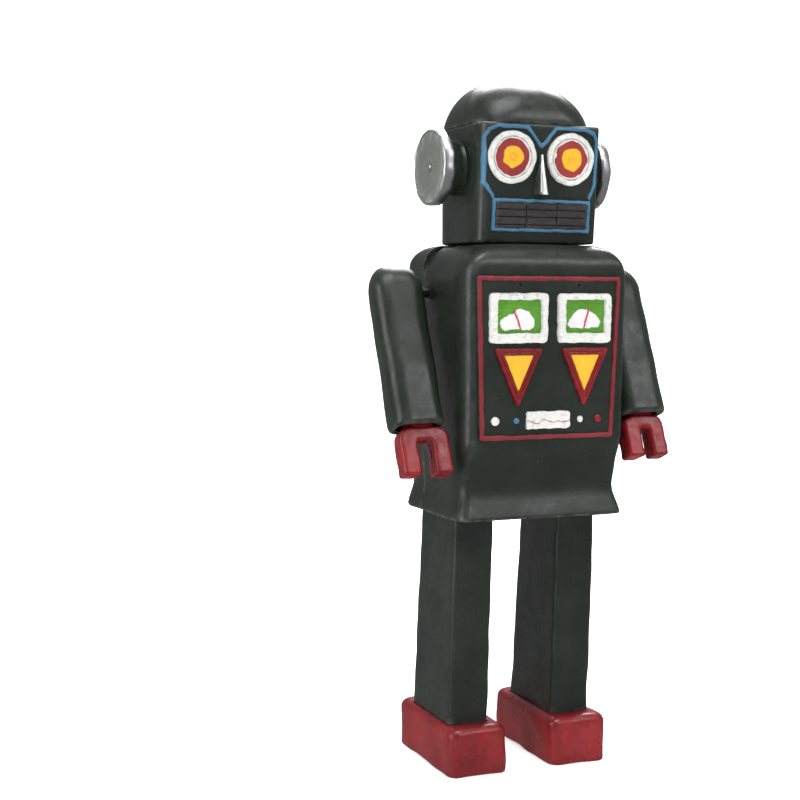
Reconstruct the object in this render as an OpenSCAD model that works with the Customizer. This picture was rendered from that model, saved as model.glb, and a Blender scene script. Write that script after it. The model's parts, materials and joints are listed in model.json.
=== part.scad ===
// Tin wind-up walking robot, standing on its two feet.
// Millimetres. The robot faces -Y, +X is its own left, +Z is up, z = 0 is the floor.

/* [Sheet metal] */
// Thickness of the body shells
sheet = 1; // [0.8:0.1:1]
// Thickness of the arm, leg and foot sleeves
thin_sheet = 1; // [0.8:0.1:1.2]

/* [Feet and legs] */
// Height of a foot
foot_h = 15.4; // [14:0.2:17]
// Distance from the middle of the robot to the middle of a leg
leg_x = 18.1; // [18:0.1:18.3]
// Width of a leg
leg_w = 13.6; // [13.2:0.1:13.6]

/* [Torso] */
// Height of the skirt's lower edge
skirt_z = 82; // [80:0.5:84]
// Half width of the skirt
skirt_hw = 28.8; // [28.4:0.1:29.2]
// Height of the shoulders
torso_top = 167; // [165:0.5:169]
// Where the front shell meets the rear shell
seam_y = 7.4; // [7:0.1:7.6]

/* [Head] */
// Half width of the head
head_hw = 20.9; // [20:0.1:22]
// Height of the head below the dome
head_h = 36.7; // [35:0.1:38]
// Height of the dome
dome_h = 15.4; // [14:0.2:17]
// Distance from the middle of the head to the middle of an eye
eye_x = 10.1; // [9.8:0.1:10.4]
// Radius of an ear disc
ear_r = 12.4; // [11:0.1:12.8]

/* [Arms] */
// Height of the shoulder pivots
shoulder_z = 152; // [150:0.5:153]
// Distance from the middle of the robot to the middle of an arm
arm_x = 39.5; // [39.2:0.1:39.8]
// Length of the right sleeve below the shoulder pivot
arm_len = 45; // [43:0.5:46]
// How far the arms lean forward at rest
arm_tilt = 22; // [20:0.5:24]

/* [Clockwork] */
// Size of the gear teeth
gear_module = 0.6; // [0.6:0.6:0.6]
// Width across the winding key
key_span = 15; // [12:0.5:15]

/* [Hidden] */
$fn = 32;

tin_green = "#2b3129";
hand_red = "#8a1f22";
trim_blue = "#4682a5";
paint_white = "#e6e6e2";
mouth_brown = "#3c3234";
lamp_amber = "#e1aa28";
dial_green = "#559623";
needle_red = "#c83c50";
bright_tin = "#c9cacc";
steel = "#8b8f94";
brass = "#b5974a";

LEFT = 1;
RIGHT = -1;
run = 0.05;        // running clearance on a radius
gap = 0.3;         // clearance between pieces that pass each other
far = 200;

// places of the clockwork arbors, as [y, z]
main_at = [9.6, skirt_z + 24];
crank_at = [-5.6, skirt_z + 22.6];
hip_at = [1.8, skirt_z + 9];
plate_in = 9.4;    // inner face of a motor plate
plate_t = 1.2;
plate_out = plate_in + plate_t;

// gears
pressure_angle = 25;
backlash = 0.06;
great_teeth = 40;
wheel_teeth = 36;
pinion_teeth = 12;
great_reach = gear_module * (great_teeth + pinion_teeth) / 2;
wheel_reach = gear_module * (wheel_teeth + pinion_teeth) / 2;
span = norm(crank_at - main_at);
along = (great_reach * great_reach - wheel_reach * wheel_reach + span * span) / (2 * span);
aside = sqrt(great_reach * great_reach - along * along);
span_dir = (crank_at - main_at) / span;
second_at = main_at + along * span_dir + aside * [span_dir[1], -span_dir[0]];
star_dir = 130;
star_at = crank_at + wheel_reach * [cos(star_dir), sin(star_dir)];
star_teeth = 15;
star_r = 4.4;
pallet_at = star_at + [0, 8.6];
pallet_pin = [3.7, -4.9];
stop_at = [8, skirt_z + 46];
stop_x = -6.9;     // plane of the stop lever
stop_tip = [-9.4, star_at[1] + 5];
pillars = [
    [-9, skirt_z + 6], [15.4, skirt_z + 6],
    [14.6, main_at[1] + 15.5], [-7.6, stop_at[1] + 1.4]
];
hip_r = 1.6;
hip_play = 0.2;    // a leg hangs loosely on its hip pin

// the value for a side, from a pair for right and left
function of_side(pair, s) = pair[s == LEFT ? 1 : 0];

function heading(a, b) = atan2(b[1] - a[1], b[0] - a[0]);
// angle of the driven gear's first tooth that puts it in mesh
function meshed(dir, phase, n_driver, n_driven) =
    dir + 180 + (dir - phase) * n_driver / n_driven - 180 / n_driven;
second_phase = meshed(heading(main_at, second_at), 0, great_teeth, pinion_teeth);
crank_phase = meshed(heading(second_at, crank_at), second_phase, wheel_teeth, pinion_teeth);
star_phase = meshed(heading(crank_at, star_at), crank_phase, wheel_teeth, pinion_teeth);

// walking crank and the levers that it rocks
crank_throw = 2.4;
crank_disc_r = 4.2;
crank_pin_r = 1.1;
lever_in = 13.8;
lever_t = 1.2;

// torso
torso_h = torso_top - skirt_z;
front_y = -24.6;
rear_y = 24;
back_r = 7.5;       // rounding of the torso's top at the front and the rear
front_shoulder_r = 10;
rear_shoulder_r = 6.6;
chest_z = skirt_z + 25;
wall_low = 22.6;   // the chest wall leans out from here, above the skirt's edge
wall_high = 77;
wall_low_y = -23.5;
chest_lean = atan((wall_low_y - front_y) / (wall_high - wall_low));
chest_y = wall_low_y - (chest_z - skirt_z - wall_low) * tan(chest_lean);
panel_h = 50;
panel_top_hw = 24.7;
panel_low_hw = 22.9;
panel_t = 0.7;
trim_w = 1.4;
trim_t = 0.5;
relief = 1.4;      // how far the gauges and lamps stand out of the panel
gauge_at = [-10.8, 11.9];   // on the robot's right and left, as all such pairs
gauge_low = 29.6;
gauge_w = 19;
gauge_tall = 15.3;
gauge_rim = 2.5;
lamp_at = [-10.5, 12.3];
lamp_low = 9.4;
lamp_tall = 18.7;
lamp_w = 16.8;
row_h = 5.9;
chart_w = 15;
chart_tall = 5.4;

// head
head_z = torso_top + gap;
face_y = -16.5;
face_lean = 4.17;
head_rear = 18;
dome_z = head_z + head_h;
dome_hw = head_hw - 0.5;
dome_hd = 18.3;
eye_h = 26.3;
eye_ring_r = 8.1;
eye_lens_r = 6.1;
ear_at = [-0.6, head_z + 23.8];
ear_in = [26.3, 25];        // inner face of an ear disc
ear_t = 3.9;
neck_r = 5;
mouth_x = 0.9;       // the mouth sits a little to one side
mouth_hw = 15.9;
mouth_low = 4.6;
mouth_tall = 8;

// arms
shoulder_y = 3.4;
arm_w = 16.6;
arm_d = 13.8;
sleeve_len = [arm_len, arm_len - 1.6];
hand_w = [16.5, 14.6];
hand_tall = [14.8, 13.5];
hand_slot = [4.8, 3.2];
hand_inward = [1.3, 0.2];
hand_d = 6.8;
pin_r = 1.8;
side_x = 27.9;     // the torso's side wall at the shoulder
bush_r = 2.6;

// legs and feet
leg_top_y = [-11.2, 15.7];
leg_low_y = [-7.9, 22.6];
leg_top_z = skirt_z + 13;
tuck = 2;           // how much narrower a leg is at its top
leg_r = 1.8;
foot_y = [-13.6, 28.8];
foot_w = 20.2;
foot_x = [17, 18.6];
roller_r = 3.6;
roller_y = 7;

// --- helpers ---------------------------------------------------------------

// stands a flat (y, z) outline up in the YZ plane, to be extruded along +X from x0
module upright(x0) {
    translate([x0, 0, 0]) rotate([90, 0, 90]) children();
}

// a bar along X on an arbor's centre, from x0 to x1
module bar(at, r, x0, x1) {
    translate([x0, at[0], at[1]]) rotate([0, 90, 0]) cylinder(h = x1 - x0, r = r);
}

// on the left as drawn, or mirrored to the right
module on_side(s) {
    if (s == LEFT) children();
    else mirror([1, 0, 0]) children();
}

module rounded(w, d, r) {
    offset(r) square([w - 2 * r, d - 2 * r], center = true);
}

module smooth(r) {
    offset(-r) offset(2 * r) offset(-r) children();
}

// a thin slice of a rounded block, for hull()
module slice(w, d, r, z) {
    translate([0, 0, z]) linear_extrude(0.02) rounded(w, d, r);
}

// places a drawing on the chest: x across, y up the panel, z out of it
module on_chest(out = 0) {
    translate([0, chest_y, chest_z]) rotate([90 + chest_lean, 0, 0]) translate([0, 0, out]) children();
}

// the same for the face
module on_face(out = 0) {
    translate([0, face_y, head_z]) rotate([90 + face_lean, 0, 0]) translate([0, 0, out]) children();
}

// the arm's own frame: the shoulder pivot at the origin, the arm down -Z
module in_arm() {
    translate([arm_x, shoulder_y, shoulder_z]) rotate([-arm_tilt, 0, 0]) children();
}

function involute(a) = tan(a) * 180 / PI - a;

// half the angle that a tooth covers at radius r
function half_tooth(r, pitch_r, n) =
    let (base_r = pitch_r * cos(pressure_angle))
    90 / n - backlash / pitch_r * 90 / PI
    + involute(pressure_angle) - involute(acos(min(1, base_r / max(r, base_r))));

module gear_outline(n, phase = 0) {
    pitch_r = gear_module * n / 2;
    root_r = pitch_r - 1.25 * gear_module;
    tip_r = pitch_r + 0.92 * gear_module;
    steps = [0, 0.3, 0.6, 0.8, 1];
    radii = [for (s = steps) root_r + s * (tip_r - root_r)];
    last = len(steps) - 1;
    polygon([
        for (k = [0 : n - 1], side = [-1, 1], i = [0 : last])
        let (r = radii[side < 0 ? i : last - i], a = phase + k * 360 / n + side * half_tooth(r, pitch_r, n))
        r * [cos(a), sin(a)]
    ]);
}

module gear(at, n, phase, x0, x1, bore = 0, windows = 0) {
    upright(x0) translate(at) linear_extrude(x1 - x0) difference() {
        gear_outline(n, phase);
        if (windows > 0)
            for (k = [0 : windows - 1])
                rotate(k * 360 / windows) translate([gear_module * n * 0.3, 0])
                    circle(gear_module * n * 0.12);
    }
}

// --- torso -----------------------------------------------------------------

module torso_front_outline() {
    half = [[skirt_hw + 0.2, -20], [skirt_hw, 1.5], [27.5, 9], [27.6, 40], [28, 73], [27.6, 85]];
    smooth(3) polygon([
        for (s = [1, -1], p = s > 0
            ? half
            : [for (i = [len(half) - 1 : -1 : 0]) half[i]])
        [s * p[0], p[1]]
    ]);
}

module torso_side_outline() {
    smooth(3) polygon([
        [-21.8, -20], [-21.6, 1.5], [-19, 9], [-20.4, 17], [wall_low_y, wall_low], [front_y, wall_high],
        [front_y, torso_h], [rear_y, torso_h], [rear_y, 12], [rear_y + 1.2, 1.5], [rear_y + 1.4, -20]
    ]);
}

// the torso's outside, or its inside at an inset, with the shoulders rounded to shoulder_r
module torso_form(inset, shoulder_r) {
    intersection() {
        translate([0, 40, skirt_z]) rotate([90, 0, 0]) linear_extrude(80) offset(-inset) intersection() {
            torso_front_outline();
            union() {
                translate([0, torso_h - 60]) rounded(56, 120, shoulder_r);
                translate([-40, -40]) square(80);
            }
        }
        translate([0, 0, skirt_z]) upright(-40) linear_extrude(80) offset(-inset) intersection() {
            torso_side_outline();
            translate([(front_y + rear_y) / 2, torso_h - 60]) rounded(rear_y - front_y, 120, back_r);
        }
        translate([0, 0.2, skirt_z - 10]) linear_extrude(torso_h + 20)
            offset(-inset) rounded(2 * skirt_hw + 0.8, rear_y - front_y + 2, 4.8);
    }
}

// everything behind a plane across the robot
module behind(y) {
    translate([-far / 2, y, 0]) cube(far);
}

module torso_openings() {
    translate([-far / 2, -far / 2, skirt_z - far]) cube(far);
    translate([0, 0, torso_top - 4]) cylinder(h = 8, r = neck_r);
    for (s = [LEFT, RIGHT])
        on_side(s) bar([shoulder_y, shoulder_z], bush_r, side_x - 3, side_x + 3);
    bar(main_at, 2, 20, 40);
    translate([stop_x - 1, rear_y - 4, stop_at[1] - 4.4]) cube([3, 8, 8.8]);
}

module torso_front_shell() {
    color(tin_green) difference() {
        torso_form(0, front_shoulder_r);
        torso_form(sheet, front_shoulder_r);
        behind(seam_y);
        torso_openings();
    }
}

// squarer at the shoulders, with a lip at the seam that closes the step to the front shell
module torso_rear_shell() {
    color(tin_green) difference() {
        intersection() {
            torso_form(0, rear_shoulder_r);
            behind(seam_y);
        }
        intersection() {
            torso_form(sheet, rear_shoulder_r);
            behind(seam_y + sheet);
        }
        torso_form(sheet, front_shoulder_r);
        torso_openings();
    }
}

module base_plate() {
    plate_z = skirt_z + 2;
    color(steel) difference() {
        intersection() {
            torso_form(sheet + 0.05, front_shoulder_r);
            translate([0, 2, plate_z]) linear_extrude(1) rounded(56, 46, 9);
        }
        for (s = [LEFT, RIGHT])
            translate([s * leg_x, 2.6, plate_z - 1]) linear_extrude(3) rounded(leg_w + 0.9, 31.5, 1.5);
        for (s = [LEFT, RIGHT], y = [-10, 14])
            translate([s * (plate_in + plate_t / 2), y, plate_z]) cube([plate_t, 4, 4], center = true);
    }
}

// --- chest -----------------------------------------------------------------

module panel_outline() {
    polygon([[-panel_low_hw, 0], [panel_low_hw, 0], [panel_top_hw, panel_h], [-panel_top_hw, panel_h]]);
}

module chest_panel() {
    color(tin_green) on_chest(0.02) linear_extrude(panel_t) difference() {
        offset(0.8) offset(-0.8) panel_outline();
        for (s = [LEFT, RIGHT]) translate([s * 10, panel_h - 2.6]) circle(0.4, $fn = 12);
    }
}

module chest_trim() {
    color(hand_red) on_chest(panel_t + 0.02) linear_extrude(trim_t) difference() {
        offset(0.8) offset(-0.8) panel_outline();
        offset(-trim_w) panel_outline();
    }
}

module gauge_bezel(s) {
    color(paint_white) on_chest(panel_t + 0.02) translate([of_side(gauge_at, s), gauge_low + gauge_tall / 2])
        linear_extrude(relief) difference() {
            rounded(gauge_w, gauge_tall, 1.2);
            rounded(gauge_w - 2 * gauge_rim, gauge_tall - 2 * gauge_rim, 0.6);
        }
}

module gauge_dial(s) {
    color(dial_green) on_chest(panel_t + 0.02) translate([of_side(gauge_at, s), gauge_low + gauge_tall / 2])
        linear_extrude(0.4) rounded(gauge_w - 2 * gauge_rim - 0.1, gauge_tall - 2 * gauge_rim - 0.1, 0.6);
}

module gauge_needles() {
    color(needle_red) on_chest(panel_t + 0.42) linear_extrude(0.4) for (s = [LEFT, RIGHT])
        translate([of_side(gauge_at, s), gauge_low + gauge_rim + 1.6]) rotate(s == LEFT ? -20 : 20)
            translate([-0.3, 0]) square([0.6, 6.4]);
}

module lamp_outline() {
    polygon([[-lamp_w / 2, lamp_tall], [0, 0], [lamp_w / 2, lamp_tall]]);
}

module lamp_frame(s) {
    color(hand_red) on_chest(panel_t + 0.02) translate([of_side(lamp_at, s), lamp_low])
        linear_extrude(1.1) difference() {
            offset(0.5) offset(-0.5) lamp_outline();
            offset(-2) lamp_outline();
        }
}

module lamp_lens(s) {
    color(lamp_amber) on_chest(panel_t + 0.02) translate([of_side(lamp_at, s), lamp_low]) linear_extrude(0.7)
        offset(-2.05) lamp_outline();
}

module chart_window() {
    color(paint_white) on_chest(panel_t + 0.02) translate([0, row_h]) linear_extrude(0.9)
        rounded(chart_w, chart_tall, 0.8);
}

module chest_studs() {
    places = [[-18, 1.3], [-10.8, 0.95], [11.2, 0.95], [17.5, 1.2]];
    color(paint_white) on_chest(panel_t + 0.02) for (p = places)
        translate([p[0], row_h]) cylinder(h = 0.9, r = p[1]);
}

// --- neck and shoulders ----------------------------------------------------

// hollow rivet through the torso's top and the head's floor
module neck_rivet() {
    color(brass) difference() {
        union() {
            translate([0, 0, torso_top - sheet - 1]) cylinder(h = 1, r = 8);
            translate([0, 0, torso_top - sheet - 1]) cylinder(h = sheet + 3.6, r = neck_r);
            translate([0, 0, torso_top + 1.6]) cylinder(h = 1, r = 8);
        }
        translate([0, 0, torso_top - 10]) cylinder(h = 20, r = 3.6);
    }
}

module shoulder_bushes() {
    at = [shoulder_y, shoulder_z];
    color(brass) for (s = [LEFT, RIGHT]) on_side(s) difference() {
        union() {
            bar(at, bush_r, side_x - 2.4, side_x + 0.6);
            bar(at, 4.4, side_x - 2.4, side_x - 1.2);
        }
        bar(at, pin_r + run, side_x - 5, side_x + 5);
    }
}

module shoulder_pin(s) {
    at = [shoulder_y, shoulder_z];
    inner = arm_x - arm_w / 2;
    color(steel) on_side(s) union() {
        bar(at, 2.8, side_x - 3.7, side_x - 2.7);
        bar(at, pin_r, side_x - 3.7, inner + thin_sheet + 2.3);
        bar(at, 2.3, inner + thin_sheet + 1.3, inner + thin_sheet + 2.3);
    }
}

// --- head ------------------------------------------------------------------

module head_plan(inset) {
    front = face_y - 2.7;
    offset(-inset) hull() {
        for (s = [1, -1]) {
            translate([s * (head_hw - 3.5), front + 3.5]) circle(3.5);
            translate([s * (head_hw - 11), head_rear - 11]) circle(11);
        }
    }
}

// side of the head up to a height above its floor, the face leaning forward
module head_side_outline(tall) {
    polygon([[face_y, 0], [face_y - tall * tan(face_lean), tall], [head_rear, tall], [head_rear, 0]]);
}

module head_case() {
    color(tin_green) difference() {
        intersection() {
            translate([0, 0, head_z]) linear_extrude(head_h) head_plan(0);
            translate([0, 0, head_z]) upright(-40) linear_extrude(80) head_side_outline(head_h);
        }
        intersection() {
            translate([0, 0, head_z + sheet]) linear_extrude(head_h) head_plan(sheet);
            translate([0, 0, head_z]) upright(-40) linear_extrude(80)
                translate([sheet, 0]) head_side_outline(head_h + 8);
        }
        translate([0, 0, head_z - 1]) cylinder(h = 4, r = neck_r + run);
    }
}

// the dome's plan pulls in as an ellipse does, from its foot to its top
module dome_form(inset, low) {
    steps = [0, 0.22, 0.42, 0.6, 0.76, 0.88, 0.96, 1];
    full = dome_h - inset;
    hull() {
        translate([0, 0, low]) linear_extrude(0.02) rounded(2 * (dome_hw - inset), 2 * (dome_hd - inset), 11);
        for (s = steps)
            let (w = max(0.12, sqrt(1 - s * s)), hw = (dome_hw - inset) * w, hd = (dome_hd - inset) * w)
            slice(2 * hw, 2 * hd, 11 * w + (hd - 11 * w) * s * 0.95, s * full);
    }
}

module head_dome() {
    color(tin_green) translate([0, 0, dome_z]) difference() {
        dome_form(0, 0);
        dome_form(sheet, -1);
    }
}

// the goggle line above, the mouth's frame below
module goggle_outline() {
    half = [[0, 29.6], [4.7, 36.3], [15.3, 36.3], [18.9, 35.2], [19.9, 32.6], [19.9, 18.4], [17, 13.9]];
    last = len(half) - 1;
    polygon([for (p = half) p, for (i = [last : -1 : 1]) [-half[i][0], half[i][1]]]);
}

module mouth_outline() {
    translate([mouth_x - mouth_hw - 1.4, mouth_low - 1.4])
        square([2 * mouth_hw + 2.8, mouth_tall + 2.8]);
}

module face_trim() {
    color(trim_blue) on_face(0.02) linear_extrude(0.8) difference() {
        union() {
            offset(0.5) offset(-0.5) goggle_outline();
            mouth_outline();
        }
        offset(-1.3) goggle_outline();
        offset(-1.4) mouth_outline();
        for (s = [1, -1]) translate([s * eye_x, eye_h]) circle(eye_ring_r + 0.05);
    }
}

module mouth_grille() {
    bar_h = mouth_tall / 4;
    bar_w = 2 * mouth_hw / 3;
    color(mouth_brown) on_face(0.02) translate([mouth_x - mouth_hw, mouth_low]) union() {
        linear_extrude(0.4) translate([0.05, 0.05]) square([2 * mouth_hw - 0.1, mouth_tall - 0.1]);
        linear_extrude(1.1) for (i = [0 : 2], k = [0 : 3])
            translate([i * bar_w + 0.4, k * bar_h + 0.3]) square([bar_w - 0.8, bar_h - 0.6]);
    }
}

module eye_ring(s) {
    color(paint_white) on_face(0.02) translate([s * eye_x, eye_h]) difference() {
        union() {
            cylinder(h = 0.9, r = eye_ring_r);
            cylinder(h = 1.5, r = eye_ring_r - 1);
        }
        translate([0, 0, -1]) cylinder(h = 4, r = eye_lens_r);
    }
}

module eye_lens(s) {
    color(hand_red) on_face(0.02) translate([s * eye_x, eye_h]) union() {
        cylinder(h = 0.7, r = eye_lens_r);
        cylinder(h = 1.1, r = 3.8);
    }
}

module nose() {
    color(bright_tin) on_face(0.02) hull() {
        translate([-1.3, 15.2]) cube([2.6, 1, 4.2]);
        translate([-1.9, 15.2]) cube([3.8, 1, 0.4]);
        translate([-0.5, 26.8]) cube([1, 0.6, 0.4]);
    }
}

module ear_bosses() {
    color(tin_green) for (s = [LEFT, RIGHT]) on_side(s) union() {
        bar(ear_at, 10, head_hw, head_hw + 1.2);
        bar(ear_at, 9.4, head_hw, of_side(ear_in, s));
    }
}

module ear_disc(s) {
    color(bright_tin) on_side(s) translate([of_side(ear_in, s), ear_at[0], ear_at[1]])
        rotate([0, 90, 0]) difference() {
            rotate_extrude() polygon([
                [0, 0], [ear_r - 0.7, 0], [ear_r, 0.7], [ear_r, ear_t - 0.8], [ear_r - 0.8, ear_t],
                [ear_r - 1.4, ear_t], [ear_r - 1.9, ear_t - 0.6], [0, ear_t - 0.6]
            ]);
            translate([0, 0, ear_t - 1.2]) cylinder(h = 2, r = 1.1);
        }
}

// --- arms ------------------------------------------------------------------

module arm_form(inset, low) {
    w = arm_w - 2 * inset;
    d = arm_d - 2 * inset;
    hull() {
        translate([-0.2, 0, 0]) slice(w - 0.8, d, 4.6, -low);
        slice(w, d - 1.4, 5.2, 0);
        slice(w - 1, d - 2.4, 4.6, 3.6 - inset);
        slice(w - 4, d - 5, 3.2, 6.3 - inset);
        slice(w - 8.4, d - 8, 1.6, 7.8 - inset);
    }
}

module arm(s) {
    color(tin_green) on_side(s) difference() {
        in_arm() difference() {
            arm_form(0, of_side(sleeve_len, s));
            arm_form(thin_sheet, of_side(sleeve_len, s) + 1);
        }
        bar([shoulder_y, shoulder_z], pin_r, arm_x - arm_w / 2 - 1, arm_x);
    }
}

module hand(s) {
    top = of_side(sleeve_len, s) + 0.2;
    wide = of_side(hand_w, s);
    tall = of_side(hand_tall, s);
    web = 4.1;
    color(hand_red) on_side(s) in_arm() union() {
        translate([-of_side(hand_inward, s), hand_d / 2, -top]) rotate([90, 0, 0])
            linear_extrude(hand_d) difference() {
                intersection() {
                    translate([0, -tall / 2]) rounded(wide, tall, 1);
                    translate([0, -tall]) rounded(wide, 2 * tall, 5.5);
                }
                translate([0, -tall]) rounded(of_side(hand_slot, s), 2 * (tall - web), 1.4);
            }
        translate([-5, -2.8, -top - 1]) cube([10, 5.6, 9]);
        translate([-0.2, 0, -top + 2.5]) linear_extrude(3)
            rounded(arm_w - 2 * thin_sheet - 1.8, arm_d - 2 * thin_sheet - 0.8, 4);
    }
}

// --- legs and feet ---------------------------------------------------------

function mid(pair) = (pair[0] + pair[1]) / 2;
function reach(pair) = pair[1] - pair[0];

// half the width of a leg at a height inside the skirt
function leg_half(z) = leg_w / 2 - tuck / 2 * (z - skirt_z) / (leg_top_z - skirt_z);

module leg_form(inset, low) {
    hull() {
        translate([0, mid(leg_low_y), low]) linear_extrude(0.02)
            rounded(leg_w - 2 * inset, reach(leg_low_y) - 2 * inset, leg_r - inset);
        translate([0, mid(leg_top_y), skirt_z]) linear_extrude(0.02)
            rounded(leg_w - 2 * inset, reach(leg_top_y) - 2 * inset, leg_r - inset);
        translate([0, mid(leg_top_y), leg_top_z]) linear_extrude(0.02)
            rounded(leg_w - tuck - 2 * inset, reach(leg_top_y) - 6 - 2 * inset, leg_r - inset);
    }
}

module leg(s) {
    color(tin_green) on_side(s) difference() {
        translate([leg_x, 0, 0]) difference() {
            leg_form(0, foot_h - 1);
            leg_form(thin_sheet, foot_h - 2);
            translate([-20, -20, leg_top_z - 0.4]) cube(40);
        }
        bar(hip_at, hip_r + hip_play, leg_x - 10, leg_x + 10);
    }
}

module hip_pins() {
    collar_r = 2.6;
    color(steel) for (s = [LEFT, RIGHT]) on_side(s) union() {
        bar(hip_at, hip_r, plate_in, leg_x + leg_half(hip_at[1]) + gap);
        bar(hip_at, collar_r, plate_out, leg_x - leg_half(hip_at[1] - collar_r) - gap);
    }
}

// rocking lever inside the top of each leg, forked round the crank's pin
module leg_lever(s) {
    lever_dir = heading(hip_at, crank_at);
    stay = hip_at + [3.4, -6];
    inner_wall = leg_x - leg_half(stay[1]) + thin_sheet;
    color(steel) on_side(s) union() {
        difference() {
            upright(lever_in) linear_extrude(lever_t) difference() {
                hull() {
                    translate(hip_at) circle(3.4);
                    translate(crank_at) rotate(lever_dir) translate([4.6, 0]) circle(3);
                    translate(stay) circle(2);
                }
                translate(crank_at) rotate(lever_dir) hull() {
                    translate([-3.2, 0]) circle(1.45);
                    translate([9, 0]) circle(1.45);
                }
            }
            bar(hip_at, hip_r + hip_play, lever_in - 1, lever_in + 3);
        }
        bar(stay, 1.2, inner_wall, lever_in + lever_t + 0.5);
    }
}

module foot_form(s, inset) {
    w = foot_w - 2 * inset;
    d = reach(foot_y) - 2 * inset;
    translate([of_side(foot_x, s), mid(foot_y), 0]) hull() {
        slice(w, d, 2.3, inset > 0 ? -1 : 0);
        slice(w, d, 2.6, foot_h - 4);
        slice(w - 1.2, d - 1.2, 2.6, foot_h - 1.6 - inset);
        slice(w - 3.2, d - 3.2, 2.6, foot_h - 0.02 - inset);
    }
}

module foot(s) {
    color(hand_red) on_side(s) difference() {
        foot_form(s, 0);
        foot_form(s, thin_sheet);
        translate([leg_x, mid(leg_low_y) + 0.05, foot_h - 1]) linear_extrude(3)
            rounded(leg_w + 0.2, reach(leg_low_y) + 0.4, leg_r);
        translate([leg_x, mid(leg_low_y), foot_h - 4]) linear_extrude(6)
            rounded(leg_w - 3, reach(leg_low_y) - 3, 2);
    }
}

module sole_plate(s) {
    ear_h = roller_r + 2.4;
    color(steel) on_side(s) translate([of_side(foot_x, s), 0, 0]) difference() {
        union() {
            translate([0, mid(foot_y), 0]) linear_extrude(1)
                rounded(foot_w - 2 * thin_sheet - 0.1, reach(foot_y) - 2 * thin_sheet - 0.1, 2.8);
            for (k = [-1, 1]) translate([k * 5.4 - 0.5, roller_y - 2.2, 0]) cube([1, 4.4, ear_h]);
        }
        translate([-4.9, roller_y - roller_r - 0.4, -1]) cube([9.8, 2 * roller_r + 0.8, 3]);
        bar([roller_y, roller_r + 0.05], 0.9 + run, -8, 8);
    }
}

module foot_roller(s) {
    at = [roller_y, roller_r + 0.05];
    color("#2a2a2a") on_side(s) translate([of_side(foot_x, s), 0, 0]) union() {
        bar(at, roller_r, -4.4, 4.4);
        bar(at, 0.9, -6.6, 6.6);
    }
}

// --- clockwork -------------------------------------------------------------

module motor_plate(s) {
    corners = [
        [-11.5, skirt_z + 3], [18, skirt_z + 3], [18, main_at[1] + 16], [11, stop_at[1] + 4.2],
        [pallet_at[0] - 3, stop_at[1] + 4.2], [star_at[0] - 3, star_at[1] - 3]
    ];
    color(bright_tin) on_side(s) difference() {
        union() {
            upright(plate_in) linear_extrude(plate_t) smooth(1.5) polygon(corners);
            for (y = [-10, 14]) translate([plate_in, y - 1.9, skirt_z + 1]) cube([plate_t, 3.8, 3]);
        }
        bar(main_at, 1.5 + run, 0, 20);
        bar(second_at, 1 + run, 0, 20);
        bar(crank_at, 1.4 + run, 0, 20);
        bar(star_at, 0.8 + run, 0, 20);
        bar(pallet_at, 0.8 + run, 0, 20);
        if (s == RIGHT) bar(stop_at, 1 + run, 0, 20);
        bar(hip_at, hip_r, 0, 20);
        for (p = pillars) bar(p, 1.1, 0, 20);
    }
}

module motor_pillars() {
    color(brass) for (p = pillars) union() {
        bar(p, 1.8, -plate_in, plate_in);
        bar(p, 1.1, -plate_out - 0.6, plate_out + 0.6);
    }
}

// coiled flat spring round the main arbor
module mainspring() {
    turns = 6;
    step = 12;
    strip = 0.5;
    low_r = 2.4;
    high_r = 11.4;
    count = turns * 360 / step;
    function spiral(i, extra) =
        (low_r + (high_r - low_r) * i / count + extra) * [cos(i * step), sin(i * step)];
    color(steel) upright(-8.8) translate(main_at) linear_extrude(5.6) polygon([
        for (i = [0 : count]) spiral(i, 0),
        for (i = [count : -1 : 0]) spiral(i, strip)
    ]);
}

module main_arbor() {
    teeth = 10;
    ratchet_r = 5;
    color(steel) union() {
        bar(main_at, 1.5, -plate_out - 0.6, 36);
        bar(main_at, 2.2, -8.8, -3.2);
        upright(0.5) translate(main_at) linear_extrude(1.2) polygon([
            for (k = [0 : teeth - 1], e = [0, 1])
            let (r = ratchet_r - 1.2 * e, a = (k + 0.02 * e) * 360 / teeth)
            r * [cos(a), sin(a)]
        ]);
    }
}

// two-winged key on the robot's left side
module winding_key() {
    tip = 44;
    wing_t = 1.6;
    color(bright_tin) difference() {
        union() {
            bar(main_at, 2.6, 29, 39);
            intersection() {
                translate([tip - 5, main_at[0], main_at[1]]) rotate([90, 0, 0])
                    linear_extrude(wing_t, center = true) difference() {
                        union() {
                            for (k = [-1, 1]) translate([0, k * key_span / 4]) circle(key_span / 4 + 0.5);
                            translate([-4, -2]) square([5, 4]);
                        }
                        for (k = [-1, 1]) translate([0.4, k * key_span / 4]) circle(key_span / 8);
                    }
                translate([28, main_at[0] - 10, main_at[1] - 10]) cube([tip - 28, 20, 20]);
            }
        }
        bar(main_at, 1.5, 20, 36);
    }
}

module great_wheel() {
    color(brass) difference() {
        gear(main_at, great_teeth, 0, -1.7, -0.1, windows = 5);
        bar(main_at, 1.5 + run, -5, 5);
    }
}

// leaf on the great wheel, its tip beside the ratchet teeth
module click_spring() {
    color(steel) upright(-0.1) translate(main_at) rotate(70) union() {
        linear_extrude(1.4) translate([6, -4]) circle(0.9);
        linear_extrude(1.2) hull() {
            translate([6, -4]) circle(0.7);
            translate([5.5, 0.6]) circle(0.3);
        }
    }
}

module second_wheel() {
    color(brass) union() {
        bar(second_at, 1, -plate_out - 0.4, plate_out + 0.4);
        gear(second_at, pinion_teeth, second_phase, -2, 0.3);
        gear(second_at, wheel_teeth, second_phase, 2.5, 3.7, windows = 5);
    }
}

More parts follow.
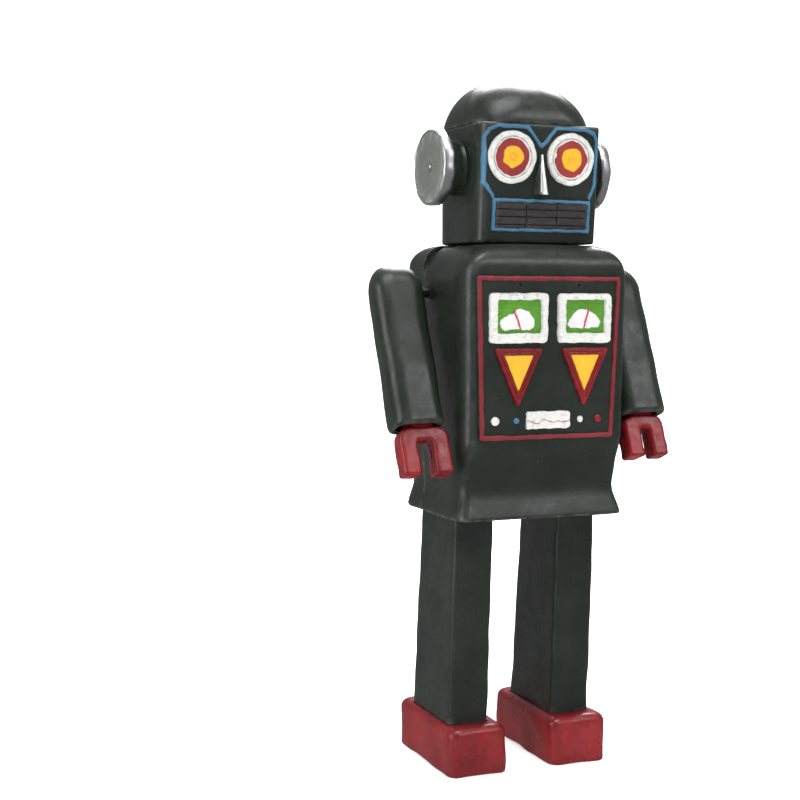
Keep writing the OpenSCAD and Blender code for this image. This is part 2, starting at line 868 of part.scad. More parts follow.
module crank_shaft() {
    throw_dir = heading(hip_at, crank_at);
    color(brass) union() {
        bar(crank_at, 1.4, -plate_out - 1.6, plate_out + 1.6);
        gear(crank_at, pinion_teeth, crank_phase, 2.1, 4.1);
        gear(crank_at, wheel_teeth, crank_phase, 5.4, 6.6, windows = 5);
        for (s = [LEFT, RIGHT])
            let (pin_at = crank_at + s * crank_throw * [cos(throw_dir), sin(throw_dir)])
            on_side(s) union() {
                bar(crank_at, crank_disc_r, plate_out + 0.3, plate_out + 1.6);
                bar(pin_at, crank_pin_r, plate_out + 0.3, lever_in - 0.4);
            }
    }
}

module star_wheel() {
    color(brass) union() {
        bar(star_at, 0.8, -plate_out - 0.4, plate_out + 0.4);
        gear(star_at, pinion_teeth, star_phase, 5, 7);
        upright(-7.2) translate(star_at) linear_extrude(1) polygon([
            for (k = [0 : star_teeth - 1], e = [0, 1, 2])
            let (r = [star_r, star_r - 0.1, star_r - 1.4][e], a = (k + [0, 0.12, 0.55][e]) * 360 / star_teeth)
            r * [cos(a), sin(a)]
        ]);
    }
}

// rocks over the star wheel and holds back its speed
module pallet() {
    color(steel) union() {
        bar(pallet_at, 0.8, -plate_out - 0.4, plate_out + 0.4);
        upright(-7.2) translate(pallet_at) linear_extrude(1) union() {
            circle(1.9);
            for (k = [-1, 1]) hull() {
                circle(0.8);
                translate([k * pallet_pin[0], pallet_pin[1]]) circle(0.5);
            }
        }
        for (k = [-1, 1]) bar(pallet_at + [k * pallet_pin[0], pallet_pin[1]], 0.5, -7.2, -5.4);
    }
}

module stop_lever() {
    color(steel) union() {
        bar(stop_at, 1, -plate_out - 0.4, stop_x + 1);
        upright(stop_x) linear_extrude(1) union() {
            hull() {
                translate(stop_at) circle(2);
                translate([rear_y + 1.2, stop_at[1]]) circle(1.2);
            }
            hull() {
                translate(stop_at) circle(2);
                translate(stop_tip) circle(0.9);
            }
        }
        translate([stop_x - 2.4, rear_y + 0.6, stop_at[1] - 1.6]) cube([5.8, 1.8, 3.2]);
    }
}

torso_front_shell();
torso_rear_shell();
base_plate();
chest_panel();
chest_trim();
gauge_bezel(LEFT);  // gauge_bezel_left
gauge_bezel(RIGHT);  // gauge_bezel_right
gauge_dial(LEFT);  // gauge_dial_left
gauge_dial(RIGHT);  // gauge_dial_right
gauge_needles();
lamp_frame(LEFT);  // lamp_frame_left
lamp_frame(RIGHT);  // lamp_frame_right
lamp_lens(LEFT);  // lamp_lens_left
lamp_lens(RIGHT);  // lamp_lens_right
chart_window();
chest_studs();
neck_rivet();
shoulder_bushes();
motor_plate(LEFT);  // motor_plate_left
motor_plate(RIGHT);  // motor_plate_right
motor_pillars();
hip_pins();
mainspring();
head_case();
head_dome();
face_trim();
mouth_grille();
eye_ring(LEFT);  // eye_ring_left
eye_ring(RIGHT);  // eye_ring_right
eye_lens(LEFT);  // eye_lens_left
eye_lens(RIGHT);  // eye_lens_right
nose();
ear_bosses();
ear_disc(LEFT);  // ear_disc_left
ear_disc(RIGHT);  // ear_disc_right
arm(LEFT);  // arm_left
arm(RIGHT);  // arm_right
hand(LEFT);  // hand_left
hand(RIGHT);  // hand_right
shoulder_pin(LEFT);  // shoulder_pin_left
shoulder_pin(RIGHT);  // shoulder_pin_right
leg(LEFT);  // leg_left
leg(RIGHT);  // leg_right
leg_lever(LEFT);  // leg_lever_left
leg_lever(RIGHT);  // leg_lever_right
foot(LEFT);  // foot_left
foot(RIGHT);  // foot_right
sole_plate(LEFT);  // sole_plate_left
sole_plate(RIGHT);  // sole_plate_right
foot_roller(LEFT);  // foot_roller_left
foot_roller(RIGHT);  // foot_roller_right
main_arbor();
winding_key();
great_wheel();
click_spring();
second_wheel();
crank_shaft();
star_wheel();
pallet();
stop_lever();
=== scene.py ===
"""Looks of the tin wind-up robot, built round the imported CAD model.

Shapes are worked out in millimetres, in the CAD frame, and make() turns them into metres.
"""
import json
import math

import bmesh
import bpy
from mathutils import Matrix, Vector, noise


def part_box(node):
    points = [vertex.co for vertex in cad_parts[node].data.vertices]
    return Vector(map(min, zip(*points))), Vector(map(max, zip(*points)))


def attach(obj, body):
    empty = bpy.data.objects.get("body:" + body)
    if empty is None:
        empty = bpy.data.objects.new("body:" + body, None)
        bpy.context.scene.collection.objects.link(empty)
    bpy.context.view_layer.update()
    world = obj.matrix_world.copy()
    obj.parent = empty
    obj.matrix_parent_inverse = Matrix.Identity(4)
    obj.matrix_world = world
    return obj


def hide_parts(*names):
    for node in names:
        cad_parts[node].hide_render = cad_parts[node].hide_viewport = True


MM = 0.001
TIN = 1.0            # thickness of the shells
LEFT, RIGHT = 1, -1  # the robot's own sides, as signs of X
SIDE_NAMES = {LEFT: "left", RIGHT: "right"}

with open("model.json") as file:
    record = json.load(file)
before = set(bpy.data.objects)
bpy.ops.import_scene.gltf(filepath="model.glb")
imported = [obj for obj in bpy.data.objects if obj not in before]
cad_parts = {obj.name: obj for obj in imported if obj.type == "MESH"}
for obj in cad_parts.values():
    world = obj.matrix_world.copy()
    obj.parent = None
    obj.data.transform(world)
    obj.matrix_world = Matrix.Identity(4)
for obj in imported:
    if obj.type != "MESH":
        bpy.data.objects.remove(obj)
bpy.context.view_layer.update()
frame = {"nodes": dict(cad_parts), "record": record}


# --- places, from the frame --------------------------------------------------

def corners(*nodes):
    """Lowest and highest corner of the CAD nodes together."""
    boxes = [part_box(node) for node in nodes]
    low = [min(box[0][i] for box in boxes) / MM for i in range(3)]
    high = [max(box[1][i] for box in boxes) / MM for i in range(3)]
    return Vector(low), Vector(high)


def pivot(joint_name):
    """A point on the joint's axis."""
    joints = {joint["name"]: joint for joint in frame["record"]["behaviour"]["joints"]}
    return Vector(joints[joint_name]["pos_m"]) / MM


class Wall:
    """A flat front wall: x across it, h up it from its lower edge, out along its normal."""

    def __init__(self, node, bends=((1000.0, 1.0, 1.0), (1000.0, 1.0, 1.0))):
        """bends hold, for the right and the left, where the wall's curve back starts, its width and depth."""
        mesh = frame["nodes"][node].data
        points = [vertex.co / MM for vertex in mesh.vertices]
        middle = (min(point.y for point in points) + max(point.y for point in points)) / 2
        front = (face for face in mesh.polygons if face.normal.y < -0.9 and face.center.y / MM < middle)
        largest = max(front, key=lambda face: face.area)
        self.outward = largest.normal.normalized()
        self.up = Vector((0, self.outward.z, -self.outward.y))
        reach = max(point.dot(self.outward) for point in points)
        foot = min(point.dot(self.up) for point in points if point.dot(self.outward) > reach - 0.05)
        self.origin = self.up * foot + self.outward * reach
        self.bends = bends

    def at(self, x, h, out=0.0):
        """The point there. In the corner the wall curves back, and the point with it."""
        start, wide, deep = self.bends[x > 0]
        past = min(max((abs(x) - start) / wide, 0.0), 0.98)
        back = deep * (1 - math.sqrt(1 - past ** 2))
        return Vector((x, 0, 0)) + self.origin + self.up * h + self.outward * (out - back)

    def box(self, node):
        """(x from, x to, h from, h to) of a CAD node that sits on the wall."""
        points = [vertex.co / MM - self.origin for vertex in frame["nodes"][node].data.vertices]
        across = [point.x for point in points]
        heights = [point.dot(self.up) for point in points]
        return min(across), max(across), min(heights), max(heights)


class Upright:
    """An upright plane in place of a wall: x across, h up, and out along Y or against it."""

    def __init__(self, origin, way):
        self.origin, self.way = origin, way

    def at(self, x, h, out=0.0):
        return self.origin + Vector((x, self.way * out, h))


# --- outlines ------------------------------------------------------------------

def outline(points, radius, arc=6, side=8, closed=True):
    """Points along a polygon whose corners are rounded, as many at each corner and on each side."""
    rounded = []
    count = len(points)
    for i, point in enumerate(points):
        here = Vector(point)
        back = Vector(points[i - 1]) - here
        on = Vector(points[(i + 1) % count]) - here
        reach = min(radius / math.tan(back.angle(on) / 2), 0.45 * back.length, 0.45 * on.length)
        if not closed and i in (0, count - 1):
            reach = 0.0
        start = here + back.normalized() * reach
        end = here + on.normalized() * reach
        steps = [k / arc for k in range(arc + 1)]
        rounded.append([start * (1 - t) ** 2 + here * (2 * t * (1 - t)) + end * t * t for t in steps])
    found = []
    for i, bend in enumerate(rounded):
        open_end = not closed and i in (0, count - 1)
        found += [bend[0]] if open_end else bend
        if closed or i < count - 1:
            onward = rounded[(i + 1) % count][0]
            found += [bend[-1].lerp(onward, k / side) for k in range(1, side)]
    return found


def inset(points, depth):
    """The corners of a counter-clockwise polygon, moved inwards by depth."""
    moved = []
    for i, point in enumerate(points):
        here = Vector(point)
        along = (here - Vector(points[i - 1])).normalized()
        onward = (Vector(points[(i + 1) % len(points)]) - here).normalized()
        first = Vector((-along.y, along.x))
        second = Vector((-onward.y, onward.x))
        moved.append(here + (first + second) * depth / (1 + first.dot(second)))
    return moved


def ellipse(middle, half, around):
    """Points round middle = (x, y), with half = (x, y) sizes."""
    turns = [2 * math.pi * k / around for k in range(around)]
    return [Vector((middle[0] + half[0] * math.cos(t), middle[1] + half[1] * math.sin(t))) for t in turns]


def box_corners(x0, x1, h0, h1):
    return [(x0, h0), (x1, h0), (x1, h1), (x0, h1)]


def smooth_loop(points, between=8):
    """Closed curve through the points."""
    found = []
    count = len(points)
    for i in range(count):
        a, b, c, d = (Vector(points[(i + k) % count]) for k in (-1, 0, 1, 2))
        for k in range(between):
            t = k / between
            found.append(0.5 * (
                2 * b + (c - a) * t + (2 * a - 5 * b + 4 * c - d) * t ** 2 + (3 * b - a - 3 * c + d) * t ** 3
            ))
    return found


def blob(centre, polar, between=8):
    """Closed curve round a centre through (angle in degrees, radius) points."""
    points = []
    for angle, radius in polar:
        turn = math.radians(angle)
        points.append((centre[0] + radius * math.cos(turn), centre[1] + radius * math.sin(turn)))
    return smooth_loop(points, between)


def uneven(points, amount, size, seed):
    """The outline as a hand paints it: each point strays by up to amount, slowly over size."""
    strayed = []
    for point in points:
        place = Vector((point[0] / size, point[1] / size, seed))
        strayed.append(Vector((
            point[0] + amount * noise.noise(place),
            point[1] + amount * noise.noise(place + Vector((0, 0, 31.7))),
        )))
    return strayed


def line_through(points, height):
    """Value at height on straight lines through (height, value) points."""
    for (h0, v0), (h1, v1) in zip(points, points[1:]):
        if height <= h1 or (h1, v1) == points[-1]:
            return v0 + (v1 - v0) * (height - h0) / (h1 - h0)


def soft_line(points, height, reach=3.0):
    """The same, with its corners softened over reach."""
    steps = [k / 4 for k in range(-4, 5)]
    return sum(line_through(points, height + reach * step) for step in steps) / len(steps)


def edge_inset(radius, from_edge):
    """How far a rounded edge draws in, at a distance from its end."""
    lack = max(radius - from_edge, 0.0)
    return radius - math.sqrt(max(radius ** 2 - lack ** 2, 0.0))


# --- solids --------------------------------------------------------------------

def section(x0, x1, y0, y1, radii, z, arc=7, side=20):
    """Level ring round a rectangle. Each corner has a radius, or one across and one in depth."""
    centres = [(x0, y0, 1, 1), (x1, y0, -1, 1), (x1, y1, -1, -1), (x0, y1, 1, -1)]
    bends = []
    for i, (x, y, to_x, to_y) in enumerate(centres):
        wide, deep = radii[i] if isinstance(radii[i], tuple) else (radii[i], radii[i])
        wide, deep = max(wide, 0.05), max(deep, 0.05)
        start = math.radians(180 + 90 * i)
        turns = [start + math.radians(90) * k / arc for k in range(arc + 1)]
        bends.append([
            Vector((x + to_x * wide + wide * math.cos(turn), y + to_y * deep + deep * math.sin(turn), z))
            for turn in turns
        ])
    ring = []
    for i, bend in enumerate(bends):
        ring += bend
        onward = bends[(i + 1) % 4][0]
        ring += [bend[-1].lerp(onward, k / side) for k in range(1, side)]
    return ring


def level_ring(middle, half, radius, z, **counts):
    """Level ring of a rounded rectangle round middle = (x, y), with half = (x, y) sizes."""
    x, y = middle
    radii = [min(radius, half[0] * 0.98, half[1] * 0.98)] * 4
    return section(x - half[0], x + half[0], y - half[1], y + half[1], radii, z, **counts)


def loft(rings, loop=False, fans=(0, -1), tip=None):
    """Skin over rings with as many points each, closed by a fan at its ends, to their middle or the tip."""
    count = len(rings[0])
    verts = [point.copy() for ring in rings for point in ring]
    faces = []
    for a in range(len(rings) if loop else len(rings) - 1):
        here = a * count
        onward = (a + 1) % len(rings) * count
        faces += [(here + i, here + (i + 1) % count, onward + (i + 1) % count, onward + i)
                  for i in range(count)]
    for end in () if loop else fans:
        verts.append(sum(rings[end], Vector()) / count if tip is None else tip)
        start = end % len(rings) * count
        faces += [(len(verts) - 1, start + i, start + (i + 1) % count) for i in range(count)]
    return verts, faces


def join(*shapes):
    """Several shapes as one."""
    verts, faces = [], []
    for shape_verts, shape_faces in shapes:
        faces += [tuple(i + len(verts) for i in face) for face in shape_faces]
        verts += shape_verts
    return verts, faces


def bead(height, shoulder=0.22, sunk=0.05, swell=0.0):
    """Profile of a raised line: (share of the way from its outer to its inner edge, height)."""
    return [
        (0.0, -sunk), (0.0, height * 0.45), (shoulder * 0.35, height * 0.84), (shoulder, height),
        (0.5, height * (1 + swell)), (1 - shoulder, height), (1 - shoulder * 0.35, height * 0.84),
        (1.0, height * 0.45), (1.0, -sunk),
    ]


def ribbon(wall, outer, inner, profile, loop=True):
    """A raised line on a wall between two outlines that have as many points."""
    rings = [
        [wall.at(*a.lerp(b, share), out) for share, out in profile] for a, b in zip(outer, inner)
    ]
    return loft(rings, loop=loop)


def pad(wall, edge, rise, base=-0.05, crown=0.0, soft=0.25, ridges=0.0):
    """A low pad on a wall inside a closed outline, with a rounded edge and a crowned face."""
    middle = sum(edge, Vector((0, 0))) / len(edge)
    size = sum((point - middle).length for point in edge) / len(edge)
    levels = [(1.0, base), (1.0, rise * 0.5), (1 - soft * 0.3 / size, rise * 0.85), (1 - soft / size, rise)]
    for k in range(1, 12):
        share = (1 - soft / size) * (1 - k / 12)
        levels.append((share, rise + crown * (1 - share ** 2) + ridges * math.sin(share * 19)))
    rings = [[wall.at(*middle.lerp(point, share), out) for point in edge] for share, out in levels]
    return loft(rings)


def turned(profile, middle, axis="X", sign=1, around=72):
    """A turned solid: profile holds (distance along the axis, radius), and its ends close on the axis."""
    rings = []
    for along, radius in profile:
        points = ellipse((0, 0), (radius, radius), around)
        offsets = [(sign * along, a, b) if axis == "X" else (a, b, sign * along) for a, b in points]
        rings.append([middle + Vector(offset) for offset in offsets])
    return loft(rings)


def turned_on(wall, x, h, profile, around=72):
    """A solid turned about the wall's normal: profile holds (out, radius)."""
    return loft([[wall.at(*point, out) for point in ellipse((x, h), (radius, radius), around)]
                 for out, radius in profile])


# --- pieces ----------------------------------------------------------------------

def settle(piece, sharp=38.0):
    """Puts the modifiers' result in the mesh, and smooths it except at sharp edges."""
    graph = bpy.context.evaluated_depsgraph_get()
    mesh = bpy.data.meshes.new_from_object(piece.evaluated_get(graph))
    piece.modifiers.clear()
    piece.data = mesh
    mesh.polygons.foreach_set("use_smooth", [True] * len(mesh.polygons))
    mesh.set_sharp_from_angle(angle=math.radians(sharp))


def sway(bm, amount, size, seed):
    """Moves every vertex along its normal by slow noise, as hand-finished surfaces are."""
    bm.normal_update()
    moves = []
    for vertex in bm.verts:
        place = vertex.co / (size * MM) + Vector((seed, seed * 0.7, 0))
        moves.append(vertex.normal * (noise.noise(place) * amount * MM))
    for vertex, move in zip(bm.verts, moves):
        vertex.co += move


def link(name, data):
    """A new object in the scene."""
    made = bpy.data.objects.new(name, data)
    bpy.context.collection.objects.link(made)
    return made


def start_mesh(name, shape):
    """A mesh from a shape in millimetres, and the bmesh to work on it."""
    mesh = bpy.data.meshes.new(name)
    mesh.from_pydata([point * MM for point in shape[0]], [], shape[1])
    bm = bmesh.new()
    bm.from_mesh(mesh)
    return mesh, bm


def make(name, shape, body, finish, stands_for=(), wave=(0.06, 5.0), seed=None, cut=None, shell=0.0,
         holes=(), sharp=38.0):
    """A piece from a shape in millimetres. cut keeps one side of a plane, and holes are cutters' shapes."""
    mesh, bm = start_mesh(name, shape)
    bmesh.ops.remove_doubles(bm, verts=bm.verts, dist=0.002 * MM)
    bmesh.ops.recalc_face_normals(bm, faces=bm.faces)
    sway(bm, wave[0], wave[1], sum(map(ord, name)) % 89 if seed is None else seed)
    if cut:
        everything = bm.verts[:] + bm.edges[:] + bm.faces[:]
        bmesh.ops.bisect_plane(bm, geom=everything, plane_co=cut[0] * MM, plane_no=cut[1], clear_outer=True)
    bm.to_mesh(mesh)
    bm.free()
    piece = link(name, mesh)
    mesh.materials.append(finish)
    if shell:
        wall = piece.modifiers.new("wall", "SOLIDIFY")
        wall.thickness = shell * MM
        wall.offset = -1
    cutters = [cutter(hole) for hole in holes]
    for tool in cutters:
        drill = piece.modifiers.new("hole", "BOOLEAN")
        drill.object = tool
        drill.operation = "DIFFERENCE"
        drill.solver = "EXACT"
    settle(piece, sharp)
    for tool in cutters:
        bpy.data.objects.remove(tool)
    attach(piece, body)
    if stands_for:
        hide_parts(*stands_for)
    return piece


def cutter(shape):
    """A hidden tool for a hole."""
    mesh, bm = start_mesh("cutter", shape)
    bmesh.ops.recalc_face_normals(bm, faces=bm.faces)
    bm.to_mesh(mesh)
    bm.free()
    return link("cutter", mesh)


def bore(middle, radius, length, axis="X"):
    return turned([(-length / 2, radius), (length / 2, radius)], middle, axis, around=40)


# --- materials -------------------------------------------------------------------

class Finish:
    """A node material in the making. Noise sizes are in millimetres of the object's own frame."""

    def __init__(self, name):
        self.material = bpy.data.materials.new(name)
        self.material.use_nodes = True
        self.tree = self.material.node_tree
        self.shader = self.tree.nodes["Principled BSDF"]
        self.place = self.add("TexCoord").outputs["Object"]

    def add(self, kind, settings=(), **inputs):
        made = self.tree.nodes.new("ShaderNode" + kind)
        for key, value in dict(settings).items():
            setattr(made, key, value)
        for key, value in inputs.items():
            self.feed(made.inputs[key.replace("_", " ")], value)
        return made

    def feed(self, socket, value):
        if isinstance(value, bpy.types.NodeSocket):
            self.tree.links.new(value, socket)
        else:
            socket.default_value = value

    def grain(self, size, stretch=(1, 1, 1), detail=3.0, shift=0.0):
        """Noise from 0 to 1 with features of about size, drawn out where stretch is under 1."""
        spread = [1 / (MM * size) * part for part in stretch]
        mapped = self.add("Mapping", Vector=self.place, Scale=spread, Location=(shift, shift * 2, 0))
        return self.add("TexNoise", Vector=mapped.outputs[0], Scale=1.0, Detail=detail).outputs["Fac"]

    def ramp(self, value, low, high, to_low=0.0, to_high=1.0):
        """The value's stretch from low to high, spread over to_low to to_high."""
        made = self.add("MapRange", Value=value, From_Min=low, From_Max=high, To_Min=to_low, To_Max=to_high)
        return made.outputs[0]

    def maths(self, operation, a, b):
        made = self.add("Math", {"operation": operation})
        self.feed(made.inputs[0], a)
        self.feed(made.inputs[1], b)
        return made.outputs[0]

    def mix(self, factor, a, b):
        made = self.add("Mix", {"data_type": "RGBA"})
        self.feed(made.inputs[0], factor)
        self.feed(made.inputs[6], a)
        self.feed(made.inputs[7], b)
        return made.outputs[2]

    def edges(self, low, high):
        """1 on outer edges from high up, 0 below low. Flat is 0.5, and hollows are less."""
        return self.ramp(self.add("NewGeometry").outputs["Pointiness"], low, high)

    def relief(self, height, depth):
        """Bump from a height, its depth in millimetres."""
        bump = self.add("Bump", Height=height, Distance=depth * MM, Strength=1.0)
        self.feed(self.shader.inputs["Normal"], bump.outputs[0])


def shade(colour, by):
    """The sRGB colour, scaled, as a linear one."""
    linear = [((part / 255 + 0.055) / 1.055) ** 2.4 if part > 10 else part / 3294.6 for part in colour]
    return [min(part * by, 1.0) for part in linear] + [1.0]


def enamel(name, colour, rough=0.38, blotch=0.25, strokes=0.25, along=(1, 1, 0.12), edge=(0, 0, 0),
           edge_wear_and_highlight_share=0.5, shade_and_dirt_colour=None, shade_and_dirt_share=0.35, pits=0.5, stroke_size=0.7):
    """Hand-painted enamel: uneven tone, brush strokes, edge tint, painted shade in hollows, wash spots and
    pinholes.
    """
    f = Finish(name)
    tone = f.ramp(f.grain(16, detail=4), 0.3, 0.7)
    base = f.mix(tone, shade(colour, 1 - blotch), shade(colour, 1 + blotch))
    brush = f.grain(stroke_size, along, detail=5, shift=3.0)
    streak = f.ramp(brush, 0.52, 0.72, 0.0, strokes)
    base = f.mix(streak, base, shade(colour, 0.45))
    light = f.ramp(f.grain(stroke_size * 1.7, along, detail=4, shift=11.0), 0.5, 0.75, 0.0, strokes * 0.7)
    base = f.mix(light, base, shade(colour, 1.7))
    # Convex edges take the edge colour. Where it is darker than the paint it stands for wear; where it is
    # lighter (green tin, ear face, mouth) it is a painted highlight.
    edge_wear_and_highlight = f.maths("MULTIPLY", f.edges(0.515, 0.56), f.ramp(f.grain(2.5, detail=4, shift=5.0), 0.35, 0.6))
    base = f.mix(f.maths("MULTIPLY", edge_wear_and_highlight, edge_wear_and_highlight_share), base, shade(edge, 1.0))
    if shade_and_dirt_colour:
        # Painted shade: hollows darken towards the given dark colour. Its random spots are dark wash on the
        # paint.
        hollow = f.ramp(f.add("NewGeometry").outputs["Pointiness"], 0.495, 0.46)
        spots = f.ramp(f.grain(1.3, detail=6, shift=17.0), 0.56, 0.68)
        hollow_shade_and_dirt = f.maths("MAXIMUM", hollow, f.maths("MULTIPLY", spots, 0.5))
        base = f.mix(f.maths("MULTIPLY", hollow_shade_and_dirt, shade_and_dirt_share), base, shade(shade_and_dirt_colour, 1.0))
    holes = f.add("TexVoronoi", Vector=f.place, Scale=1 / (5.5 * MM)).outputs["Distance"]
    pinhole = f.ramp(holes, 0.045, 0.03)
    base = f.mix(f.maths("MULTIPLY", pinhole, pits), base, shade((10, 10, 10), 1.0))
    f.feed(f.shader.inputs["Base Color"], base)
    rough_noise = f.ramp(f.grain(3.0, detail=5, shift=7.0), 0.3, 0.7, rough - 0.07, rough + 0.09)
    f.feed(f.shader.inputs["Roughness"], rough_noise)
    peel = f.maths("MULTIPLY", f.grain(1.1, detail=3, shift=23.0), 0.35)
    marks = f.maths("MULTIPLY", brush, min(strokes * 2.2, 1.0))
    height = f.maths("SUBTRACT", f.maths("ADD", peel, marks), f.maths("MULTIPLY", pinhole, 1.6))
    f.relief(height, 0.07)
    return f.material


def metal(name, colour, rough=0.25, tarnish=(60, 60, 62)):
    """Bare or plated metal: fine scratches, dull patches and darker recesses."""
    f = Finish(name)
    patches = f.ramp(f.grain(7, detail=5), 0.35, 0.7)
    base = f.mix(f.maths("MULTIPLY", patches, 0.3), shade(colour, 1.0), shade(colour, 0.55))
    scratch = f.grain(0.4, (1, 1, 0.2), detail=4, shift=2.0)
    base = f.mix(f.ramp(scratch, 0.58, 0.75, 0.0, 0.35), base, shade(tarnish, 1.0))
    hollow = f.ramp(f.add("NewGeometry").outputs["Pointiness"], 0.49, 0.45)
    base = f.mix(f.maths("MULTIPLY", hollow, 0.7), base, shade(tarnish, 0.5))
    f.feed(f.shader.inputs["Base Color"], base)
    f.shader.inputs["Metallic"].default_value = 1.0
    f.feed(f.shader.inputs["Roughness"], f.ramp(patches, 0, 1, rough - 0.06, rough + 0.12))
    f.relief(scratch, 0.02)
    return f.material


# The green tin's light grey edge colour is a painted highlight.
GREEN = enamel("green_tin_paint", (30, 37, 32), rough=0.33, blotch=0.3, strokes=0.16, along=(1, 1, 0.08),
               edge=(98, 102, 98), edge_wear_and_highlight_share=0.45, pits=0.6)
RED = enamel("red_enamel_paint", (128, 20, 26), rough=0.32, blotch=0.28, strokes=0.3, edge=(48, 10, 14),
             edge_wear_and_highlight_share=0.55, shade_and_dirt_colour=(40, 8, 12), shade_and_dirt_share=0.6)
LINE_RED = enamel("red_line_paint", (122, 26, 32), rough=0.42, blotch=0.25, strokes=0.4, stroke_size=0.5,
                  along=(0.3, 0.3, 0.3), edge=(70, 20, 24), shade_and_dirt_colour=(45, 12, 14))
BLUE = enamel("blue_line_paint", (60, 110, 140), rough=0.42, blotch=0.18, strokes=0.35, stroke_size=0.5,
              along=(0.3, 0.3, 0.3), edge=(42, 82, 110), shade_and_dirt_colour=(30, 55, 75))
WHITE = enamel("white_brushed_paint", (214, 214, 210), rough=0.5, blotch=0.07, strokes=0.4, stroke_size=0.35,
               along=(0.25, 1, 1), edge=(205, 205, 200), shade_and_dirt_colour=(120, 120, 116), shade_and_dirt_share=0.75)
IRIS = enamel("iris_red_paint", (150, 44, 46), rough=0.42, blotch=0.2, strokes=0.3, stroke_size=0.5,
              along=(1, 1, 0.3), edge=(120, 30, 34), shade_and_dirt_colour=(90, 20, 24))
AMBER = enamel("amber_paint", (236, 176, 36), rough=0.4, blotch=0.08, strokes=0.18, stroke_size=0.6,
               edge=(205, 140, 25), shade_and_dirt_colour=(160, 120, 20), shade_and_dirt_share=0.4)
DIAL = enamel("dial_green_paint", (80, 142, 30), rough=0.42, blotch=0.12, strokes=0.5, stroke_size=0.6,
              along=(0.15, 1, 1), edge=(60, 115, 24), shade_and_dirt_colour=(36, 74, 18), shade_and_dirt_share=0.7)
PALE = enamel("pale_grey_paint", (222, 222, 226), rough=0.5, blotch=0.05, strokes=0.25, stroke_size=0.3,
              edge=(196, 196, 200), shade_and_dirt_colour=(150, 150, 155))
PINK = enamel("pink_needle_paint", (200, 62, 84), rough=0.42, blotch=0.15, strokes=0.3, stroke_size=0.3,
              edge=(170, 40, 60))
# The mouth's pale edge colour is a painted highlight, and its near-black hollow colour is painted shade.
BROWN = enamel("mouth_brown_paint", (51, 44, 46), rough=0.5, blotch=0.25, strokes=0.35, along=(0.15, 1, 1),
               stroke_size=0.5, edge=(112, 102, 104), shade_and_dirt_colour=(20, 17, 18), shade_and_dirt_share=0.9)
# The ear face's near-white edge colour is a painted highlight.
SATIN = enamel("ear_face_satin", (100, 103, 97), rough=0.36, blotch=0.12, strokes=0.25, stroke_size=0.5,
               along=(1, 0.3, 0.3), edge=(200, 202, 200), shade_and_dirt_colour=(60, 62, 58))
CHROME = metal("silver_leaf", (212, 212, 214), rough=0.32)
TINPLATE = metal("bright_tinplate", (196, 198, 200), rough=0.3)
STEEL = metal("plain_steel", (150, 154, 158), rough=0.34)
BRASS = metal("turned_brass", (196, 158, 82), rough=0.3, tarnish=(80, 60, 25))
RUBBER = enamel("black_roller", (30, 30, 31), rough=0.6, blotch=0.2, strokes=0.2, edge=(60, 60, 60))

SLOT_FINISHES = {
    "green_tin": [GREEN], "red_enamel": [RED, LINE_RED, IRIS], "white_enamel": [WHITE, PALE],
    "green_enamel": [DIAL], "pink_enamel": [PINK], "amber_enamel": [AMBER], "blue_enamel": [BLUE],
    "brown_enamel": [BROWN], "bright_tin": [TINPLATE, CHROME, SATIN], "steel": [STEEL], "brass": [BRASS],
    "black_plastic": [RUBBER],
}


# --- torso -----------------------------------------------------------------------

FRONT_SHOULDER_R = 10.0   # rounding of the front shell's shoulders, and of the squarer rear shell's
REAR_SHOULDER_R = 6.6
TOP_R = 7.5               # rounding of the torso's top at the front and the rear
FRONT_EDGES = [(3.6, 7.5), (2.2, 3.0)]   # rounding of its right and left front edges, across and in depth
BACK_EDGE = [(0, 8.0), (50, 7.0), (78, 3.8), (90, 3.5)]   # rounding of the rear edges, by height
FRONT_SET = [(1.5, 3.0), (9, 5.6), (17, 4.2), (22.6, 1.1), (77, 0.0), (90, 0.0)]
SIDE_SET = [(1.0, 0.0), (2.5, 0.15), (6, 1.5), (9, 1.9), (14, 1.2), (40, 1.2), (73, 0.8), (90, 1.2)]
REAR_SET = [(1.5, 0.0), (12, 1.2), (90, 1.2)]


def side_inset(height):
    return soft_line(SIDE_SET, height, 2.0)


def torso_ring(low, high, height, shoulder_r, hem=0.0):
    """Ring at a height above the skirt's edge. hem draws it in all round."""
    from_top = high.z - low.z - height
    side = side_inset(height) + edge_inset(shoulder_r, from_top) + hem
    front = soft_line(FRONT_SET, height, 2.2) + edge_inset(TOP_R, from_top) + hem
    rear = soft_line(REAR_SET, height) + edge_inset(TOP_R, from_top) + hem
    grow = 0.5 * min(edge_inset(shoulder_r, from_top), edge_inset(TOP_R, from_top))
    radii = [(wide + grow, deep - grow * 0.4) for wide, deep in FRONT_EDGES]
    radii += [soft_line(BACK_EDGE, height) + grow] * 2
    return section(low.x + side, high.x - side, low.y + front, high.y - rear, radii, low.z + height)


